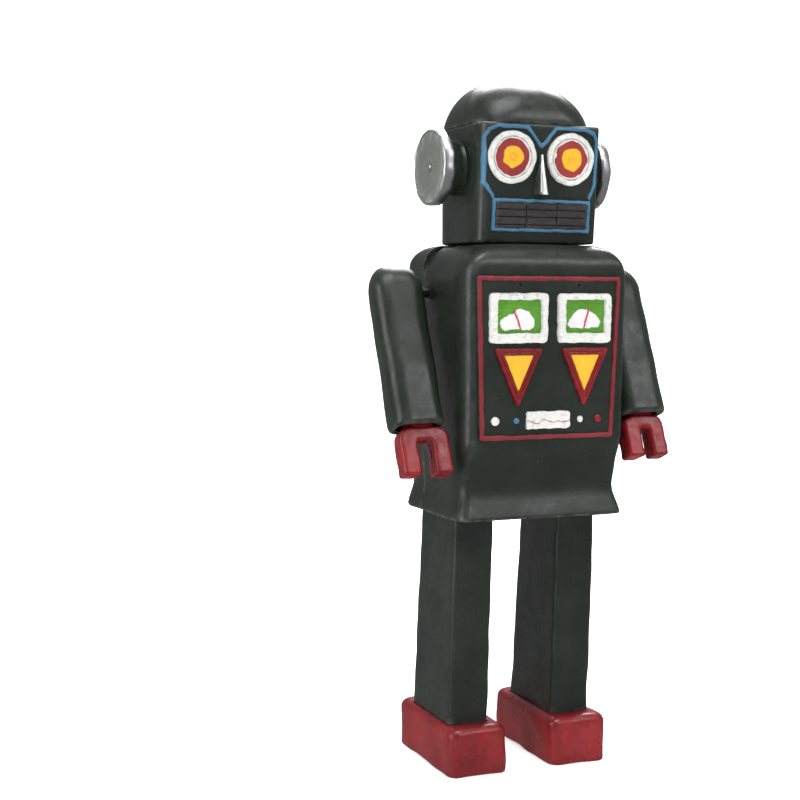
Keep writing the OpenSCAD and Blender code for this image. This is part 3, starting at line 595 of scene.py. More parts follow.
def torso_skin(low, high, shoulder_r):
    tall = high.z - low.z
    hems = ((0.0, 0.5), (0.2, 0.22), (0.6, 0.03))
    rings = [torso_ring(low, high, height, shoulder_r, hem) for height, hem in hems]
    rings += [torso_ring(low, high, 1.2 + k * 1.5, shoulder_r) for k in range(12)]
    start = 1.2 + 11 * 1.5
    reach = tall - FRONT_SHOULDER_R - start
    rings += [torso_ring(low, high, start + reach * k / 28, shoulder_r) for k in range(1, 29)]
    heights = [tall - FRONT_SHOULDER_R * (1 - math.sin(math.radians(a))) for a in range(7, 91, 5)]
    rings += [torso_ring(low, high, height, shoulder_r) for height in heights]
    top = torso_ring(low, high, tall, shoulder_r)
    middle = sum(top, Vector()) / len(top)
    rings += [[middle.lerp(point, share) for point in top] for share in (1.0, 0.8, 0.6, 0.4, 0.2)]
    return loft(rings, fans=[-1])


def seam_line(low, high, shoulder_r, draw):
    """Points (x, z) of the torso's outline at the seam: up one side, over the top and down the other."""
    tall = high.z - low.z
    heights = [1.0 + k * (tall - shoulder_r - 1.0) / 24 for k in range(24)]
    half = [(high.x - side_inset(height) - draw, height) for height in heights]
    for a in range(0, 91, 5):
        height = tall - shoulder_r * (1 - math.sin(math.radians(a)))
        side = side_inset(height) + edge_inset(shoulder_r, tall - height)
        lean = draw * math.cos(math.radians(a))
        half.append((high.x - side - lean, height - draw * math.sin(math.radians(a))))
    half = [(x, low.z + h) for x, h in half]
    return half + [(-x, z) for x, z in reversed(half)]


def torso():
    low, high = corners("torso_front_shell", "torso_rear_shell")
    seam = corners("torso_front_shell")[1].y
    neck = bore(Vector((0, 0, high.z)), 5.0, 12, "Z")
    shoulder = pivot("left_arm_swing")
    sockets = [bore(Vector((s * high.x, shoulder.y, shoulder.z)), 2.6, 12) for s in (LEFT, RIGHT)]
    key = pivot("key_wind")
    key_hole = bore(Vector((high.x, key.y, key.z)), 2.0, 12)
    slot_z = corners("stop_lever")[1].z - 1.6
    slot = loft([
        level_ring((-6.4, high.y), (1.5, 6), 0.4, slot_z - 4.4, arc=2, side=2),
        level_ring((-6.4, high.y), (1.5, 6), 0.4, slot_z + 4.4, arc=2, side=2),
    ])
    make("torso_front", torso_skin(low, high, FRONT_SHOULDER_R), "torso", GREEN, ["torso_front_shell"],
         wave=(0.22, 12), seed=4, cut=(Vector((0, seam - 0.06, 0)), (0, 1, 0)), shell=TIN,
         holes=[neck] + sockets)
    make("torso_rear", torso_skin(low, high, REAR_SHOULDER_R), "torso", GREEN, ["torso_rear_shell"],
         wave=(0.22, 12), seed=4, cut=(Vector((0, seam + 0.06, 0)), (0, -1, 0)), shell=TIN,
         holes=[neck, key_hole, slot] + sockets)
    outer = seam_line(low, high, REAR_SHOULDER_R, 0.4)
    inner = seam_line(low, high, FRONT_SHOULDER_R, 1.2)
    front_y, rear_y = seam + 0.1, seam + 0.9
    lip = []
    for a, b in zip(outer, inner):
        rim = ((a, front_y), (a, rear_y), (b, rear_y), (b, front_y))
        lip.append([Vector((x, y, z)) for (x, z), y in rim])
    make("seam_lip", loft(lip), "torso", GREEN, wave=(0.02, 6))


# --- chest -----------------------------------------------------------------------

PANEL_TAPER = 1.8     # how much narrower the panel is at its foot, on each side
LINE_W = 1.4          # width of the red line round it
BEZEL_RIMS = (2.75, 2.3, 3.1, 2.1)    # width of a gauge's white rim: its two sides, its foot and its top
GAUGE_GROWTH = {RIGHT: 0.4, LEFT: -0.25}


def chest():
    wall = Wall("chest_panel")
    x0, x1, h0, h1 = wall.box("chest_panel")
    plan = [(x0 + PANEL_TAPER, h0), (x1 - PANEL_TAPER, h0), (x1, h1), (x0, h1)]
    panel_edge = outline(inset(plan, 0.02), 0.8, side=16)
    back = Wall("chest_panel")
    back.origin = back.origin - back.outward * 0.7
    pinholes = [turned_on(wall, s * 10, h1 - 2.6, [(-0.6, 0.38), (1, 0.38)], around=16)
                for s in (LEFT, RIGHT)]
    make("chest_plate", pad(back, panel_edge, 0.7, base=0.0, soft=0.4, crown=0.0), "torso", GREEN,
         ["chest_panel"], wave=(0.1, 9), holes=pinholes)

    outer = uneven(outline(plan, 1.0, side=40), 0.16, 3.0, 1)
    inner = uneven(outline(inset(plan, LINE_W), 0.5, side=40), 0.3, 3.0, 2)
    make("chest_line", ribbon(wall, outer, inner, bead(0.5, 0.3)), "torso", LINE_RED, ["chest_trim"],
         wave=(0.05, 2))
    for s in (LEFT, RIGHT):
        gauge(wall, s)
        lamp(wall, s)
    needles(wall)
    chart(wall)
    studs(wall)


def gauge_boxes(wall, s):
    """Outside and inside of a gauge's rim, as (x from, x to, h from, h to)."""
    x0, x1, h0, h1 = wall.box("gauge_bezel_" + SIDE_NAMES[s])
    grow = GAUGE_GROWTH[s]
    outside = (x0 - grow, x1 + grow, h0, h1)
    left, right, foot, top = BEZEL_RIMS
    return outside, (outside[0] + left, outside[1] - right, h0 + foot, h1 - top)


def gauge(wall, s):
    side = SIDE_NAMES[s]
    outside, inside = gauge_boxes(wall, s)
    outer = uneven(outline(box_corners(*outside), 1.4, side=20), 0.3, 2.2, 5 + s)
    inner = uneven(outline(box_corners(*inside), 0.5, side=20), 0.3, 2.0, 9 + s)
    profile = [(0.0, -0.05), (0.0, 0.6), (0.05, 1.1), (0.16, 1.36), (0.5, 1.42), (0.84, 1.36), (0.95, 1.1),
               (1.0, 0.3), (1.0, -0.05)]
    make("bezel_" + side, ribbon(wall, outer, inner, profile), "torso", WHITE, ["gauge_bezel_" + side],
         wave=(0.12, 1.3))
    make("dial_" + side,
         pad(wall, outline(inset(box_corners(*inside), -0.15), 0.6, side=16), 0.36, soft=0.5), "torso", DIAL,
         ["gauge_dial_" + side], wave=(0.08, 1.6))
    middle = ((inside[0] + inside[1]) / 2 - 0.2, inside[2] + 3.0)
    if s == RIGHT:  # a cloud with a shallow dip on its outer side
        polar = [(-30, 4.4), (-8, 5.5), (10, 5.4), (28, 5.0), (48, 4.9), (70, 4.5), (95, 4.3), (118, 3.4),
                 (136, 4.0), (155, 4.8), (172, 6.2), (190, 6.2), (205, 5.2), (222, 2.8), (262, 1.7),
                 (300, 2.4)]
    else:           # a plainer half disc, flat below
        polar = [(-14, 5.0), (0, 5.6), (16, 5.2), (40, 4.6), (64, 4.2), (90, 4.3), (114, 4.6), (140, 4.7),
                 (162, 5.0), (178, 5.7), (192, 5.6), (206, 3.6), (240, 1.9), (270, 1.5), (300, 1.8),
                 (334, 3.2)]
    make("scale_" + side, pad(wall, uneven(blob(middle, polar, 6), 0.3, 0.7, s), 0.55, soft=0.2), "torso",
         PALE, wave=(0.05, 0.8))


def needles(wall):
    """One thin red hand on each dial, leaning outwards at the top."""
    shapes = []
    for s in (LEFT, RIGHT):
        inside = gauge_boxes(wall, s)[1]
        foot = Vector(((inside[0] + inside[1]) / 2 + (0.5 if s == RIGHT else -0.5), inside[2] + 1.3))
        tip = foot + Vector((-2.3, 5.6) if s == RIGHT else (1.7, 6.2))
        aside = (tip - foot).orthogonal().normalized()
        middles = [foot.lerp(tip, k / 12) for k in range(13)]
        widths = [0.24 + 0.16 * math.sin(math.pi * k / 12) for k in range(13)]
        a = uneven([m + aside * w for m, w in zip(middles, widths)], 0.2, 0.8, 3 + s)
        b = uneven([m - aside * w for m, w in zip(middles, widths)], 0.2, 0.8, 7 + s)
        shapes.append(ribbon(wall, a, b, bead(0.8, 0.3), loop=False))
    make("needles", join(*shapes), "torso", PINK, ["gauge_needles"], wave=(0.02, 1.0))


def lamp(wall, s):
    side = SIDE_NAMES[s]
    x0, x1, h0, h1 = wall.box("lamp_frame_" + side)
    middle = (x0 + x1) / 2
    plan = [(middle, h0 - 0.7), (x1 + 0.2, h1), (x0 - 0.2, h1)]
    outer = uneven(outline(plan, 0.8, side=22), 0.2, 2.5, 12 + s)
    inner = uneven(outline(inset(plan, 2.15), 0.15, side=22), 0.28, 2.0, 15 + s)
    profile = [(0.0, -0.05), (0.0, 0.45), (0.06, 0.9), (0.18, 1.1), (0.34, 1.02), (0.5, 0.78), (0.6, 0.74),
               (0.72, 0.98), (0.84, 1.0), (0.94, 0.86), (1.0, 0.4), (1.0, -0.05)]
    make("lamp_rim_" + side, ribbon(wall, outer, inner, profile), "torso", RED, ["lamp_frame_" + side],
         wave=(0.07, 1.5))
    make("lamp_glass_" + side,
         pad(wall, outline(inset(plan, 2.1), 0.2, side=18), 0.72, soft=0.25, crown=0.1), "torso", AMBER,
         ["lamp_lens_" + side], wave=(0.05, 2.0))


def chart(wall):
    """The paper window with a wandering line."""
    box = wall.box("chart_window")
    edge = uneven(outline(box_corners(*box), 0.8, side=20), 0.25, 1.6, 20)
    make("chart_paper", pad(wall, edge, 0.85, soft=0.3), "torso", WHITE, ["chart_window"], wave=(0.08, 1.6))
    middle_h = (box[2] + box[3]) / 2 - 0.1
    trace = [(-7.3, 0.1), (-6.2, -0.2), (-4.9, -0.85), (-3.4, -0.95), (-2.4, 0.0), (-1.5, 0.3), (-0.4, -0.1),
             (0.7, -0.45), (1.6, -0.6), (2.4, -0.5), (3.4, -0.2), (4.4, -0.55), (5.4, -0.5), (6.4, -0.4),
             (7.3, -0.1)]
    path = [Vector((x, middle_h + h)) for x, h in trace]
    fine = [path[i].lerp(path[i + 1], k / 6) for i in range(len(path) - 1) for k in range(6)] + [path[-1]]
    widths = [0.17 + 0.11 * noise.noise(Vector((point.x * 1.3, 5, 0))) for point in fine]
    a = [point + Vector((0, w)) for point, w in zip(fine, widths)]
    b = [point - Vector((0, w)) for point, w in zip(fine, widths)]
    make("chart_trace", ribbon(wall, a, b, bead(0.95, 0.3), loop=False), "torso", PINK, wave=(0.02, 1.0))


def studs(wall):
    h0, h1 = wall.box("chest_studs")[2:]
    row = (h0 + h1) / 2
    kinds = [("outer_right", -18, 1.35, WHITE), ("inner_right", -10.8, 0.95, BLUE),
             ("inner_left", 11.2, 0.95, WHITE), ("outer_left", 17.5, 1.2, RED)]
    for name, x, r, finish in kinds:
        turns = [k * math.pi / 14 for k in range(7)]
        profile = [(-0.05, r)] + [(0.3 + 0.6 * math.sin(turn), r * math.cos(turn)) for turn in turns]
        make("stud_" + name, turned_on(wall, x, row, profile, around=36), "torso", finish, ["chest_studs"],
             wave=(0.1, 1.2))


# --- head ------------------------------------------------------------------------

FACE_CORNERS = [(3.0, 8.0), (1.5, 3.0)]   # rounding of its right and left front corners, across and in depth
NAPE_CORNER = 11.0         # and of the rear ones
EAR_LEAN = {RIGHT: 1.0, LEFT: 0.0}   # degrees that an ear turns forwards
CROWN_FULL = 0.75          # the crown is fuller at the right and the rear: the power of its outline there


def head_ring(low, high, z, draw=0.0):
    """Ring of the head's wall. The face leans forward, and draw pulls it in all round."""
    wall = Wall("head_case")
    up = (z - wall.origin.z) / wall.up.z
    face_y = wall.at(0, up).y
    radii = [(max(wide - draw, 0.4), max(deep - draw, 0.4)) for wide, deep in FACE_CORNERS]
    radii += [max(NAPE_CORNER - draw, 1)] * 2
    return section(low.x + draw, high.x - draw, face_y + draw, high.y - draw, radii, z)


def head():
    low, high = corners("head_case")
    tall = high.z - low.z
    rings = [level_ring((0, 0), (5.05, 5.05), 5.04, low.z), level_ring((0, 0), (9, 9), 6, low.z)]
    lower_edge = ((0.0, 1.2), (0.05, 0.6), (0.3, 0.2), (0.8, 0.0))
    upper_edge = ((0.8, 0.0), (0.35, 0.12), (0.08, 0.4), (0.0, 0.9))
    rings += [head_ring(low, high, low.z + z, draw) for z, draw in lower_edge]
    rings += [head_ring(low, high, low.z + 1.5 + k * (tall - 3.0) / 16) for k in range(17)]
    rings += [head_ring(low, high, high.z - z, draw) for z, draw in upper_edge]
    rings += [head_ring(low, high, high.z, 1.9)]
    make("head_shell", loft(rings, fans=()), "head", GREEN, ["head_case"], wave=(0.14, 11), seed=6,
         shell=TIN * 0.8)

    foot, crown = corners("head_dome")
    half_x, half_y = crown.x + 0.35, crown.y
    rise = crown.z - foot.z
    rings = []
    for k in range(24):
        a = math.radians(90) * k / 24
        w = math.cos(a)
        full = w ** CROWN_FULL
        r = (NAPE_CORNER + (half_y - NAPE_CORNER) * math.sin(a) * 0.95) * w
        wide, deep = half_x * (full + w) / 2, half_y * (full + w) / 2
        middle = (wide - half_x * full, half_y * full - deep)
        rings.append(level_ring(middle, (wide, deep), r, foot.z + rise * math.sin(a)))
    rings[0] = level_ring((0, 0), (half_x - 0.35, half_y - 0.4), NAPE_CORNER - 0.4, foot.z)
    rings.insert(1, level_ring((0, 0), (half_x - 0.08, half_y - 0.1), NAPE_CORNER - 0.1, foot.z + 0.25))
    dome = loft(rings, fans=[-1], tip=Vector((0, 0, crown.z)))
    make("head_crown", dome, "head", GREEN, ["head_dome"], wave=(0.16, 11), seed=6, shell=TIN)
    face()
    for s in (LEFT, RIGHT):
        ear(s)
    bosses()


def bosses():
    """The dark bosses that the ear discs stand on, a little wider at the disc."""
    shapes = []
    for s in (LEFT, RIGHT):
        low, high = corners("ear_disc_" + SIDE_NAMES[s])
        middle = (low + high) / 2
        wall_x = corners("head_case")[1].x
        reach = min(abs(low.x), abs(high.x)) - wall_x
        middle.x = s * wall_x
        profile = [(-0.4, 9.0), (0.15, 8.8), (0.8, 8.6), (1.4, 8.6), (reach * 0.6, 9.0), (reach - 0.3, 9.5),
                   (reach + 0.15, 9.6)]
        shapes.append(turned(profile, middle, "X", s, around=64))
    make("ear_stands", join(*shapes), "head", GREEN, ["ear_bosses"], wave=(0.3, 5))


def ear(s):
    """A cupped disc with a bright band round it. The right one looks a little forwards."""
    side = SIDE_NAMES[s]
    low, high = corners("ear_disc_" + side)
    middle = (low + high) / 2
    middle.x = min(low.x, high.x, key=abs)
    r = (high.z - low.z) / 2 - 0.3
    thick = high.x - low.x
    lean = Matrix.Rotation(math.radians(EAR_LEAN[s]), 3, "Z")

    def leaning(shape):
        return [middle + lean @ (point - middle) for point in shape[0]], shape[1]

    band = [(0.2, 5.0), (0.2, r - 1.1), (0.35, r - 0.35), (0.8, r - 0.02), (1.9, r), (thick - 0.9, r - 0.1),
            (thick - 0.4, r - 0.4), (thick - 0.12, r - 0.75), (thick - 0.08, r - 1.0),
            (thick - 0.25, r - 1.2), (thick - 1.2, r - 1.3), (thick - 1.2, 5.0)]
    make("ear_band_" + side, leaning(turned(band, middle, "X", s, around=96)), "head", CHROME,
         ["ear_disc_" + side], wave=(0.45, 4.5))
    plate = [(thick - 1.1, r - 1.0), (thick - 0.3, r - 1.1), (thick - 0.16, r - 1.5), (thick - 0.1, 6),
             (thick - 0.12, 3.2), (thick - 0.2, 2.0), (thick - 0.5, 1.35), (thick - 0.7, 0.9)]
    make("ear_face_" + side, leaning(turned(plate, middle, "X", s, around=96)), "head", SATIN,
         wave=(0.25, 4.0))
    dot = [(thick - 1.0, 1.0), (thick - 0.3, 0.95), (thick - 0.02, 0.6), (thick, 0.15)]
    make("ear_rivet_" + side, leaning(turned(dot, middle, "X", s, around=24)), "head", CHROME,
         wave=(0.12, 0.8))


# --- face ------------------------------------------------------------------------

GOGGLE = [(0, 30.6), (4.7, 36.2), (15.1, 36.2), (18.5, 35.1), (19.8, 32.4), (19.6, 18.2)]
GOGGLE_FEET = [(-16.1, 13.4), (17.6, 13.4)]
LINE = 1.15           # width of the blue line


def face():
    head_high = corners("head_case")[1]
    wall = Wall("head_case", [(head_high.x - wide, wide, deep) for wide, deep in FACE_CORNERS])
    face_lines(wall)
    mouth(wall)
    nose(wall)
    for s in (LEFT, RIGHT):
        eye(wall, s)


def face_lines(wall):
    """The goggle outline, open at its foot, and the frame round the mouth below it."""
    around = GOGGLE_FEET[:1] + [(-x, h) for x, h in reversed(GOGGLE)] + GOGGLE[1:] + GOGGLE_FEET[1:]
    clockwise = [Vector(point) for point in around]
    counter = clockwise[::-1]
    outer = uneven(outline(counter, 1.1, side=12, closed=False), 0.25, 3.0, 31)
    inner = uneven(outline(inset(counter, LINE), 0.9, side=12, closed=False), 0.3, 2.5, 37)
    goggle = ribbon(wall, outer, inner, bead(0.55, 0.3), loop=False)
    x0, x1, h0, h1 = wall.box("mouth_grille")
    frame_plan = box_corners(x0 - LINE, x1 + LINE, h0 - LINE, h1 + LINE)
    outer = uneven(outline(frame_plan, 0.5, side=30), 0.3, 3.0, 41)
    inner = uneven(outline(inset(frame_plan, LINE + 0.05), 0.4, side=30), 0.3, 2.5, 43)
    make("face_lines", join(goggle, ribbon(wall, outer, inner, bead(0.75, 0.3))), "head", BLUE,
         ["face_trim"], wave=(0.07, 2.0))


def mouth(wall):
    """Three columns of slats, the lowest row the thinnest, with thin bars between the columns."""
    x0, x1, h0, h1 = wall.box("mouth_grille")
    ground = pad(wall, outline(box_corners(x0, x1, h0, h1), 0.3, side=8), 0.3, soft=0.1)
    shapes = [ground]
    rows = [0.48, 1.1, 1.05, 0.97]
    unit = (h1 - h0) / sum(rows)
    gap = 0.16
    column = (x1 - x0) / 3
    for i in range(3):
        foot = h0
        for share in rows:
            left = x0 + i * column + (0.3 if i else 0.1)
            right = x0 + (i + 1) * column - (0.3 if i < 2 else 0.1)
            tilt = 0.12 * noise.noise(Vector((i * 3.1, foot, 4)))
            plan = [(left, foot + gap + tilt), (right, foot + gap - tilt),
                    (right, foot + unit * share - gap), (left, foot + unit * share - gap)]
            shapes.append(pad(wall, outline(plan, 0.18, side=8, arc=3), 0.9, base=0.1, soft=0.22))
            foot += unit * share
    for i in (1, 2):
        x = x0 + i * column
        bar = outline(box_corners(x - 0.16, x + 0.16, h0 + 0.1, h1 - 0.1), 0.08, side=8, arc=3)
        shapes.append(pad(wall, uneven(bar, 0.15, 2.0, i), 1.0, base=0.1, soft=0.08))
    make("mouth_slats", join(*shapes), "head", BROWN, ["mouth_grille"], wave=(0.08, 1.5))


def nose(wall):
    """A wedge: dark sides, a silver front with a ridge down it."""
    h0, h1 = wall.box("nose")[2:]
    low_out, high_out = 4.2, 0.9
    dark, bright = [], []
    for k in range(13):
        t = k / 12
        h = h0 + (h1 - h0) * t
        half = 2.15 + (0.6 - 2.15) * t
        front = 1.3 + (0.4 - 1.3) * t
        out = low_out + (high_out - low_out) * t
        split = out * 0.62
        sides = [(-half, -0.1), (-half, 0.1), (-front - 0.08, split), (front + 0.08, split), (half, 0.1),
                 (half, -0.1)]
        ridge = [(-front - 0.02, split - 0.1), (-front, split + 0.1), (-front * 0.9, out - 0.25),
                 (-front * 0.6, out - 0.02), (-front * 0.08, out - 0.08), (0.1, out),
                 (front * 0.6, out - 0.03), (front * 0.92, out - 0.3), (front, split + 0.1),
                 (front + 0.02, split - 0.1)]
        dark.append([wall.at(x, h, o) for x, o in sides])
        bright.append([wall.at(x, h, o) for x, o in ridge])
    make("nose_bridge", loft(dark), "head", GREEN, ["nose"], wave=(0.1, 2.0), sharp=50)
    make("nose_front", loft(bright), "head", CHROME, ["nose"], wave=(0.1, 1.6), sharp=50)


def eye(wall, s):
    side = SIDE_NAMES[s]
    x0, x1, h0, h1 = wall.box("eye_ring_" + side)
    x, h = (x0 + x1) / 2, (h0 + h1) / 2
    r = (x1 - x0) / 2
    dish = [(-0.05, r), (0.5, r + 0.02), (0.95, r - 0.08), (1.3, r - 0.36), (1.46, r - 0.8), (1.4, r - 1.2),
            (1.1, r - 1.5), (0.88, r - 1.7), (0.84, r - 1.85), (0.98, r - 2.0), (0.94, r - 2.2),
            (0.76, r - 2.45), (0.62, r - 2.9), (0.6, 4), (0.6, 2)]
    make("eye_dish_" + side, turned_on(wall, x, h, dish, around=96), "head", WHITE, ["eye_ring_" + side],
         wave=(0.26, 2.0))
    if s == RIGHT:
        iris = [(0, 6.1), (24, 5.9), (45, 5.8), (68, 6.2), (92, 6.5), (116, 6.2), (140, 6.3), (165, 6.3),
                (190, 6.1), (215, 6.0), (238, 6.3), (262, 6.2), (290, 6.0), (318, 5.8), (340, 6.1)]
        pupil = [(0, 3.9), (30, 3.6), (62, 3.5), (92, 3.4), (122, 3.6), (152, 3.6), (182, 3.2), (207, 3.8),
                 (236, 3.2), (264, 3.7), (298, 3.3), (330, 3.6)]
        pupil_at = (x + 0.1, h + 0.1)
    else:
        iris = [(0, 6.2), (26, 5.6), (52, 5.7), (78, 6.2), (100, 5.7), (128, 5.6), (152, 5.9), (180, 6.0),
                (205, 5.7), (228, 5.9), (246, 6.4), (270, 5.8), (300, 6.0), (330, 5.8)]
        pupil = [(0, 3.6), (28, 3.8), (55, 4.0), (80, 3.6), (108, 3.5), (138, 3.8), (170, 3.6), (200, 3.4),
                 (230, 3.5), (262, 3.5), (284, 3.9), (312, 3.6), (338, 3.7)]
        pupil_at = (x + 0.2, h - 0.1)
    make("eye_iris_" + side, pad(wall, blob((x, h), iris, 6), 0.86, base=0.4, soft=0.3, ridges=0.05), "head",
         IRIS, ["eye_lens_" + side], wave=(0.05, 1.2))
    outer = ellipse(pupil_at, (1.3, 1.3), 40)
    inner = ellipse(pupil_at, (0.9, 0.9), 40)
    ring = ribbon(wall, outer, inner, [(0.0, 0.95), (0.25, 1.18), (0.75, 1.18), (1.0, 0.95)])
    middle = pad(wall, blob(pupil_at, pupil, 7), 1.04, base=0.6, soft=0.25, ridges=0.04)
    make("eye_pupil_" + side, join(middle, ring), "head", AMBER, ["eye_lens_" + side], wave=(0.05, 1.2))


# --- arms ------------------------------------------------------------------------

ARM_LEAN = math.radians(22)   # how far the arms lean forward at rest
ARM_HALF = (8.6, 6.3)         # half width and half depth at the shoulder
ARM_LOW_HALF = (8.1, 6.9)     # and at the wrist
ARM_SHIFT = -0.2              # how far inwards the wrist's middle sits
ARM_TOP = 7.8                 # height of the sleeve above the shoulder, and its length below it
ARM_LEN = {RIGHT: 45.0, LEFT: 43.4}
MOUTH_HALF = (6.4, 4.9)       # the oval mouth at the wrist
# A hand's height, its shift inwards, and the halves of its width and of its slot.
HANDS = {RIGHT: (14.8, 1.3, 8.2, 2.45), LEFT: (13.5, 0.2, 7.25, 1.65)}


def in_arm(shape, s):
    """Takes a shape from the left arm's own frame, with the shoulder at its origin, to either arm."""
    joint = pivot(SIDE_NAMES[LEFT] + "_arm_swing")
    turn = Matrix.Rotation(-ARM_LEAN, 3, "X")
    placed = [joint + turn @ point for point in shape[0]]
    return [Vector((s * point.x, point.y, point.z)) for point in placed], shape[1]


def arm_ring(z, draw=0.0):
    """Ring of the sleeve at z, drawn in all round."""
    down = min(max(-z / ARM_LEN[RIGHT], 0.0), 1.0)
    crown = 5.0 * (1 - math.sqrt(max(1 - (max(z, 0) / (ARM_TOP + 0.1)) ** 2, 0)))
    half = [ARM_HALF[i] + (ARM_LOW_HALF[i] - ARM_HALF[i]) * down - draw - crown for i in (0, 1)]
    return level_ring((ARM_SHIFT * down, 0), half, 5.5 - 0.8 * down - draw * 0.5 - crown * 0.3, z, arc=8,
                      side=8)


def arm(s):
    side = SIDE_NAMES[s]
    foot = -ARM_LEN[s]
    rises = [ARM_TOP * math.sin(math.radians(a)) for a in range(84, 0, -7)]
    outside = [arm_ring(z) for z in rises]
    outside += [arm_ring(k * (foot + 1.5) / 22) for k in range(23)]
    outside += [arm_ring(foot + z, draw) for z, draw in ((1.0, 0.05), (0.45, 0.25), (0.1, 0.65), (0.0, 1.2))]
    rims = [(0.5, foot + 0.1), (0.1, foot + 0.35), (0.0, foot + 0.9)]
    lip = [level_ring((ARM_SHIFT, 0), (MOUTH_HALF[0] + grow, MOUTH_HALF[1] + grow), 4.6, z, arc=8, side=8)
           for grow, z in rims]
    inside = [arm_ring(foot + 1.0, TIN)] + [arm_ring(k * (foot + 2) / 8, TIN) for k in range(8, -1, -1)]
    inside += [arm_ring(z * 0.88, TIN) for z in rises[::-3]]
    shoulder = pivot(side + "_arm_swing")
    inner_x = s * (abs(shoulder.x) - ARM_HALF[0])
    pin_hole = bore(Vector((inner_x, shoulder.y, shoulder.z)), 1.8, 5)
    make("sleeve_" + side, in_arm(loft(outside + lip + inside), s), side + "_arm", GREEN, ["arm_" + side],
         wave=(0.3, 9), holes=[pin_hole])


def hand(s):
    """A claw like an upside-down U, and the neck that holds it in the sleeve."""
    side = SIDE_NAMES[s]
    tall, inward, half, slot = HANDS[s]
    deep, web = 6.6, 4.1   # the claw's depth, and its height above the slot
    soft = 0.16            # rounding of its edges, as a share of a prong's width
    top = -ARM_LEN[s] - 0.2
    foot = top - tall
    outer = [(-half, foot), (-half - 0.1, top), (half, top), (half - 0.2, foot)]
    inner = [(-slot, foot), (-slot, top - web), (slot, top - web), (slot - 0.1, foot)]
    outer = outline([Vector((x - inward, h)) for x, h in outer], 4.2, arc=10, side=10, closed=False)
    inner = outline([Vector((x - inward, h)) for x, h in inner], 1.5, arc=10, side=10, closed=False)
    edge = section(0.0, 1.0, -deep / 2, deep / 2, [soft] * 4, 0, arc=4, side=5)
    profile = [(point.x, min(max(point.y, -deep / 2), deep / 2)) for point in edge]
    profile = [(share, out - 4.8 * (soft - min(share, 1 - share, soft)) ** 2 / soft * math.copysign(1, out))
               for share, out in profile]
    board = Upright(Vector(), -1)
    rings = [[board.at(*a.lerp(b, share), out) for share, out in profile] for a, b in zip(outer, inner)]
    for end in (0, -1):
        ring = rings[end]
        middle = sum(ring, Vector()) / len(ring)
        extra = []
        for drop, scale in ((0.35, 0.95), (0.55, 0.86), (0.62, 0.7), (0.62, 0.4)):
            extra.append([middle.lerp(point, scale) - Vector((0, 0, drop - 0.6)) for point in ring])
        ring[:] = [point + Vector((0, 0, 0.6)) for point in ring]
        rings = extra[::-1] + rings if end == 0 else rings + extra
    levels = [(-2.4, 5.0, 2.2), (-0.4, 5.4, 2.8), (0.4, 4.9, 2.8), (3.0, 4.8, 2.8), (3.1, 6.0, 4.4),
              (6.0, 5.8, 4.2)]
    neck = loft([level_ring((ARM_SHIFT - inward * 0.6, 0), (wide, thick), 2.6, top + z, arc=8, side=8)
                 for z, wide, thick in levels])
    make("claw_" + side, in_arm(join(loft(rings), neck), s), side + "_arm", RED, ["hand_" + side],
         wave=(0.26, 3.2), sharp=50)


# --- legs and feet -----------------------------------------------------------------

LEG_CORNER = 1.7
TUCK = 1.0            # how much narrower a leg is at its top, on each side
REAR_TOP = 15.7       # the leg's rear at the skirt, and its front at the foot
FRONT_LOW = -7.9
FOOT_EDGE = 2.8


def leg(s):
    side = SIDE_NAMES[s]
    low, high = corners("leg_" + side)
    skirt_z = corners("torso_front_shell")[0].z
    rings = []
    for k in range(41):
        t = k / 40
        y0 = FRONT_LOW + (low.y - FRONT_LOW) * t
        y1 = high.y + (REAR_TOP - high.y) * t
        z = low.z + (skirt_z - low.z) * t
        rings.append(section(low.x, high.x, y0, y1, [LEG_CORNER] * 4, z, side=14))
    for share in (0.15, 0.4, 0.7, 1.0):
        draw, pull = TUCK * share, 3 * share
        rings.append(section(low.x + draw, high.x - draw, low.y + pull, REAR_TOP - pull, [LEG_CORNER] * 4,
                             skirt_z + (high.z - skirt_z) * share, side=14))
    hip = pivot(side + "_leg_swing")
    make("shin_" + side, loft(rings, fans=()), side + "_leg", GREEN, ["leg_" + side], wave=(0.3, 10),
         shell=TIN, holes=[bore(Vector(((low.x + high.x) / 2, hip.y, hip.z)), 1.8, 30)])


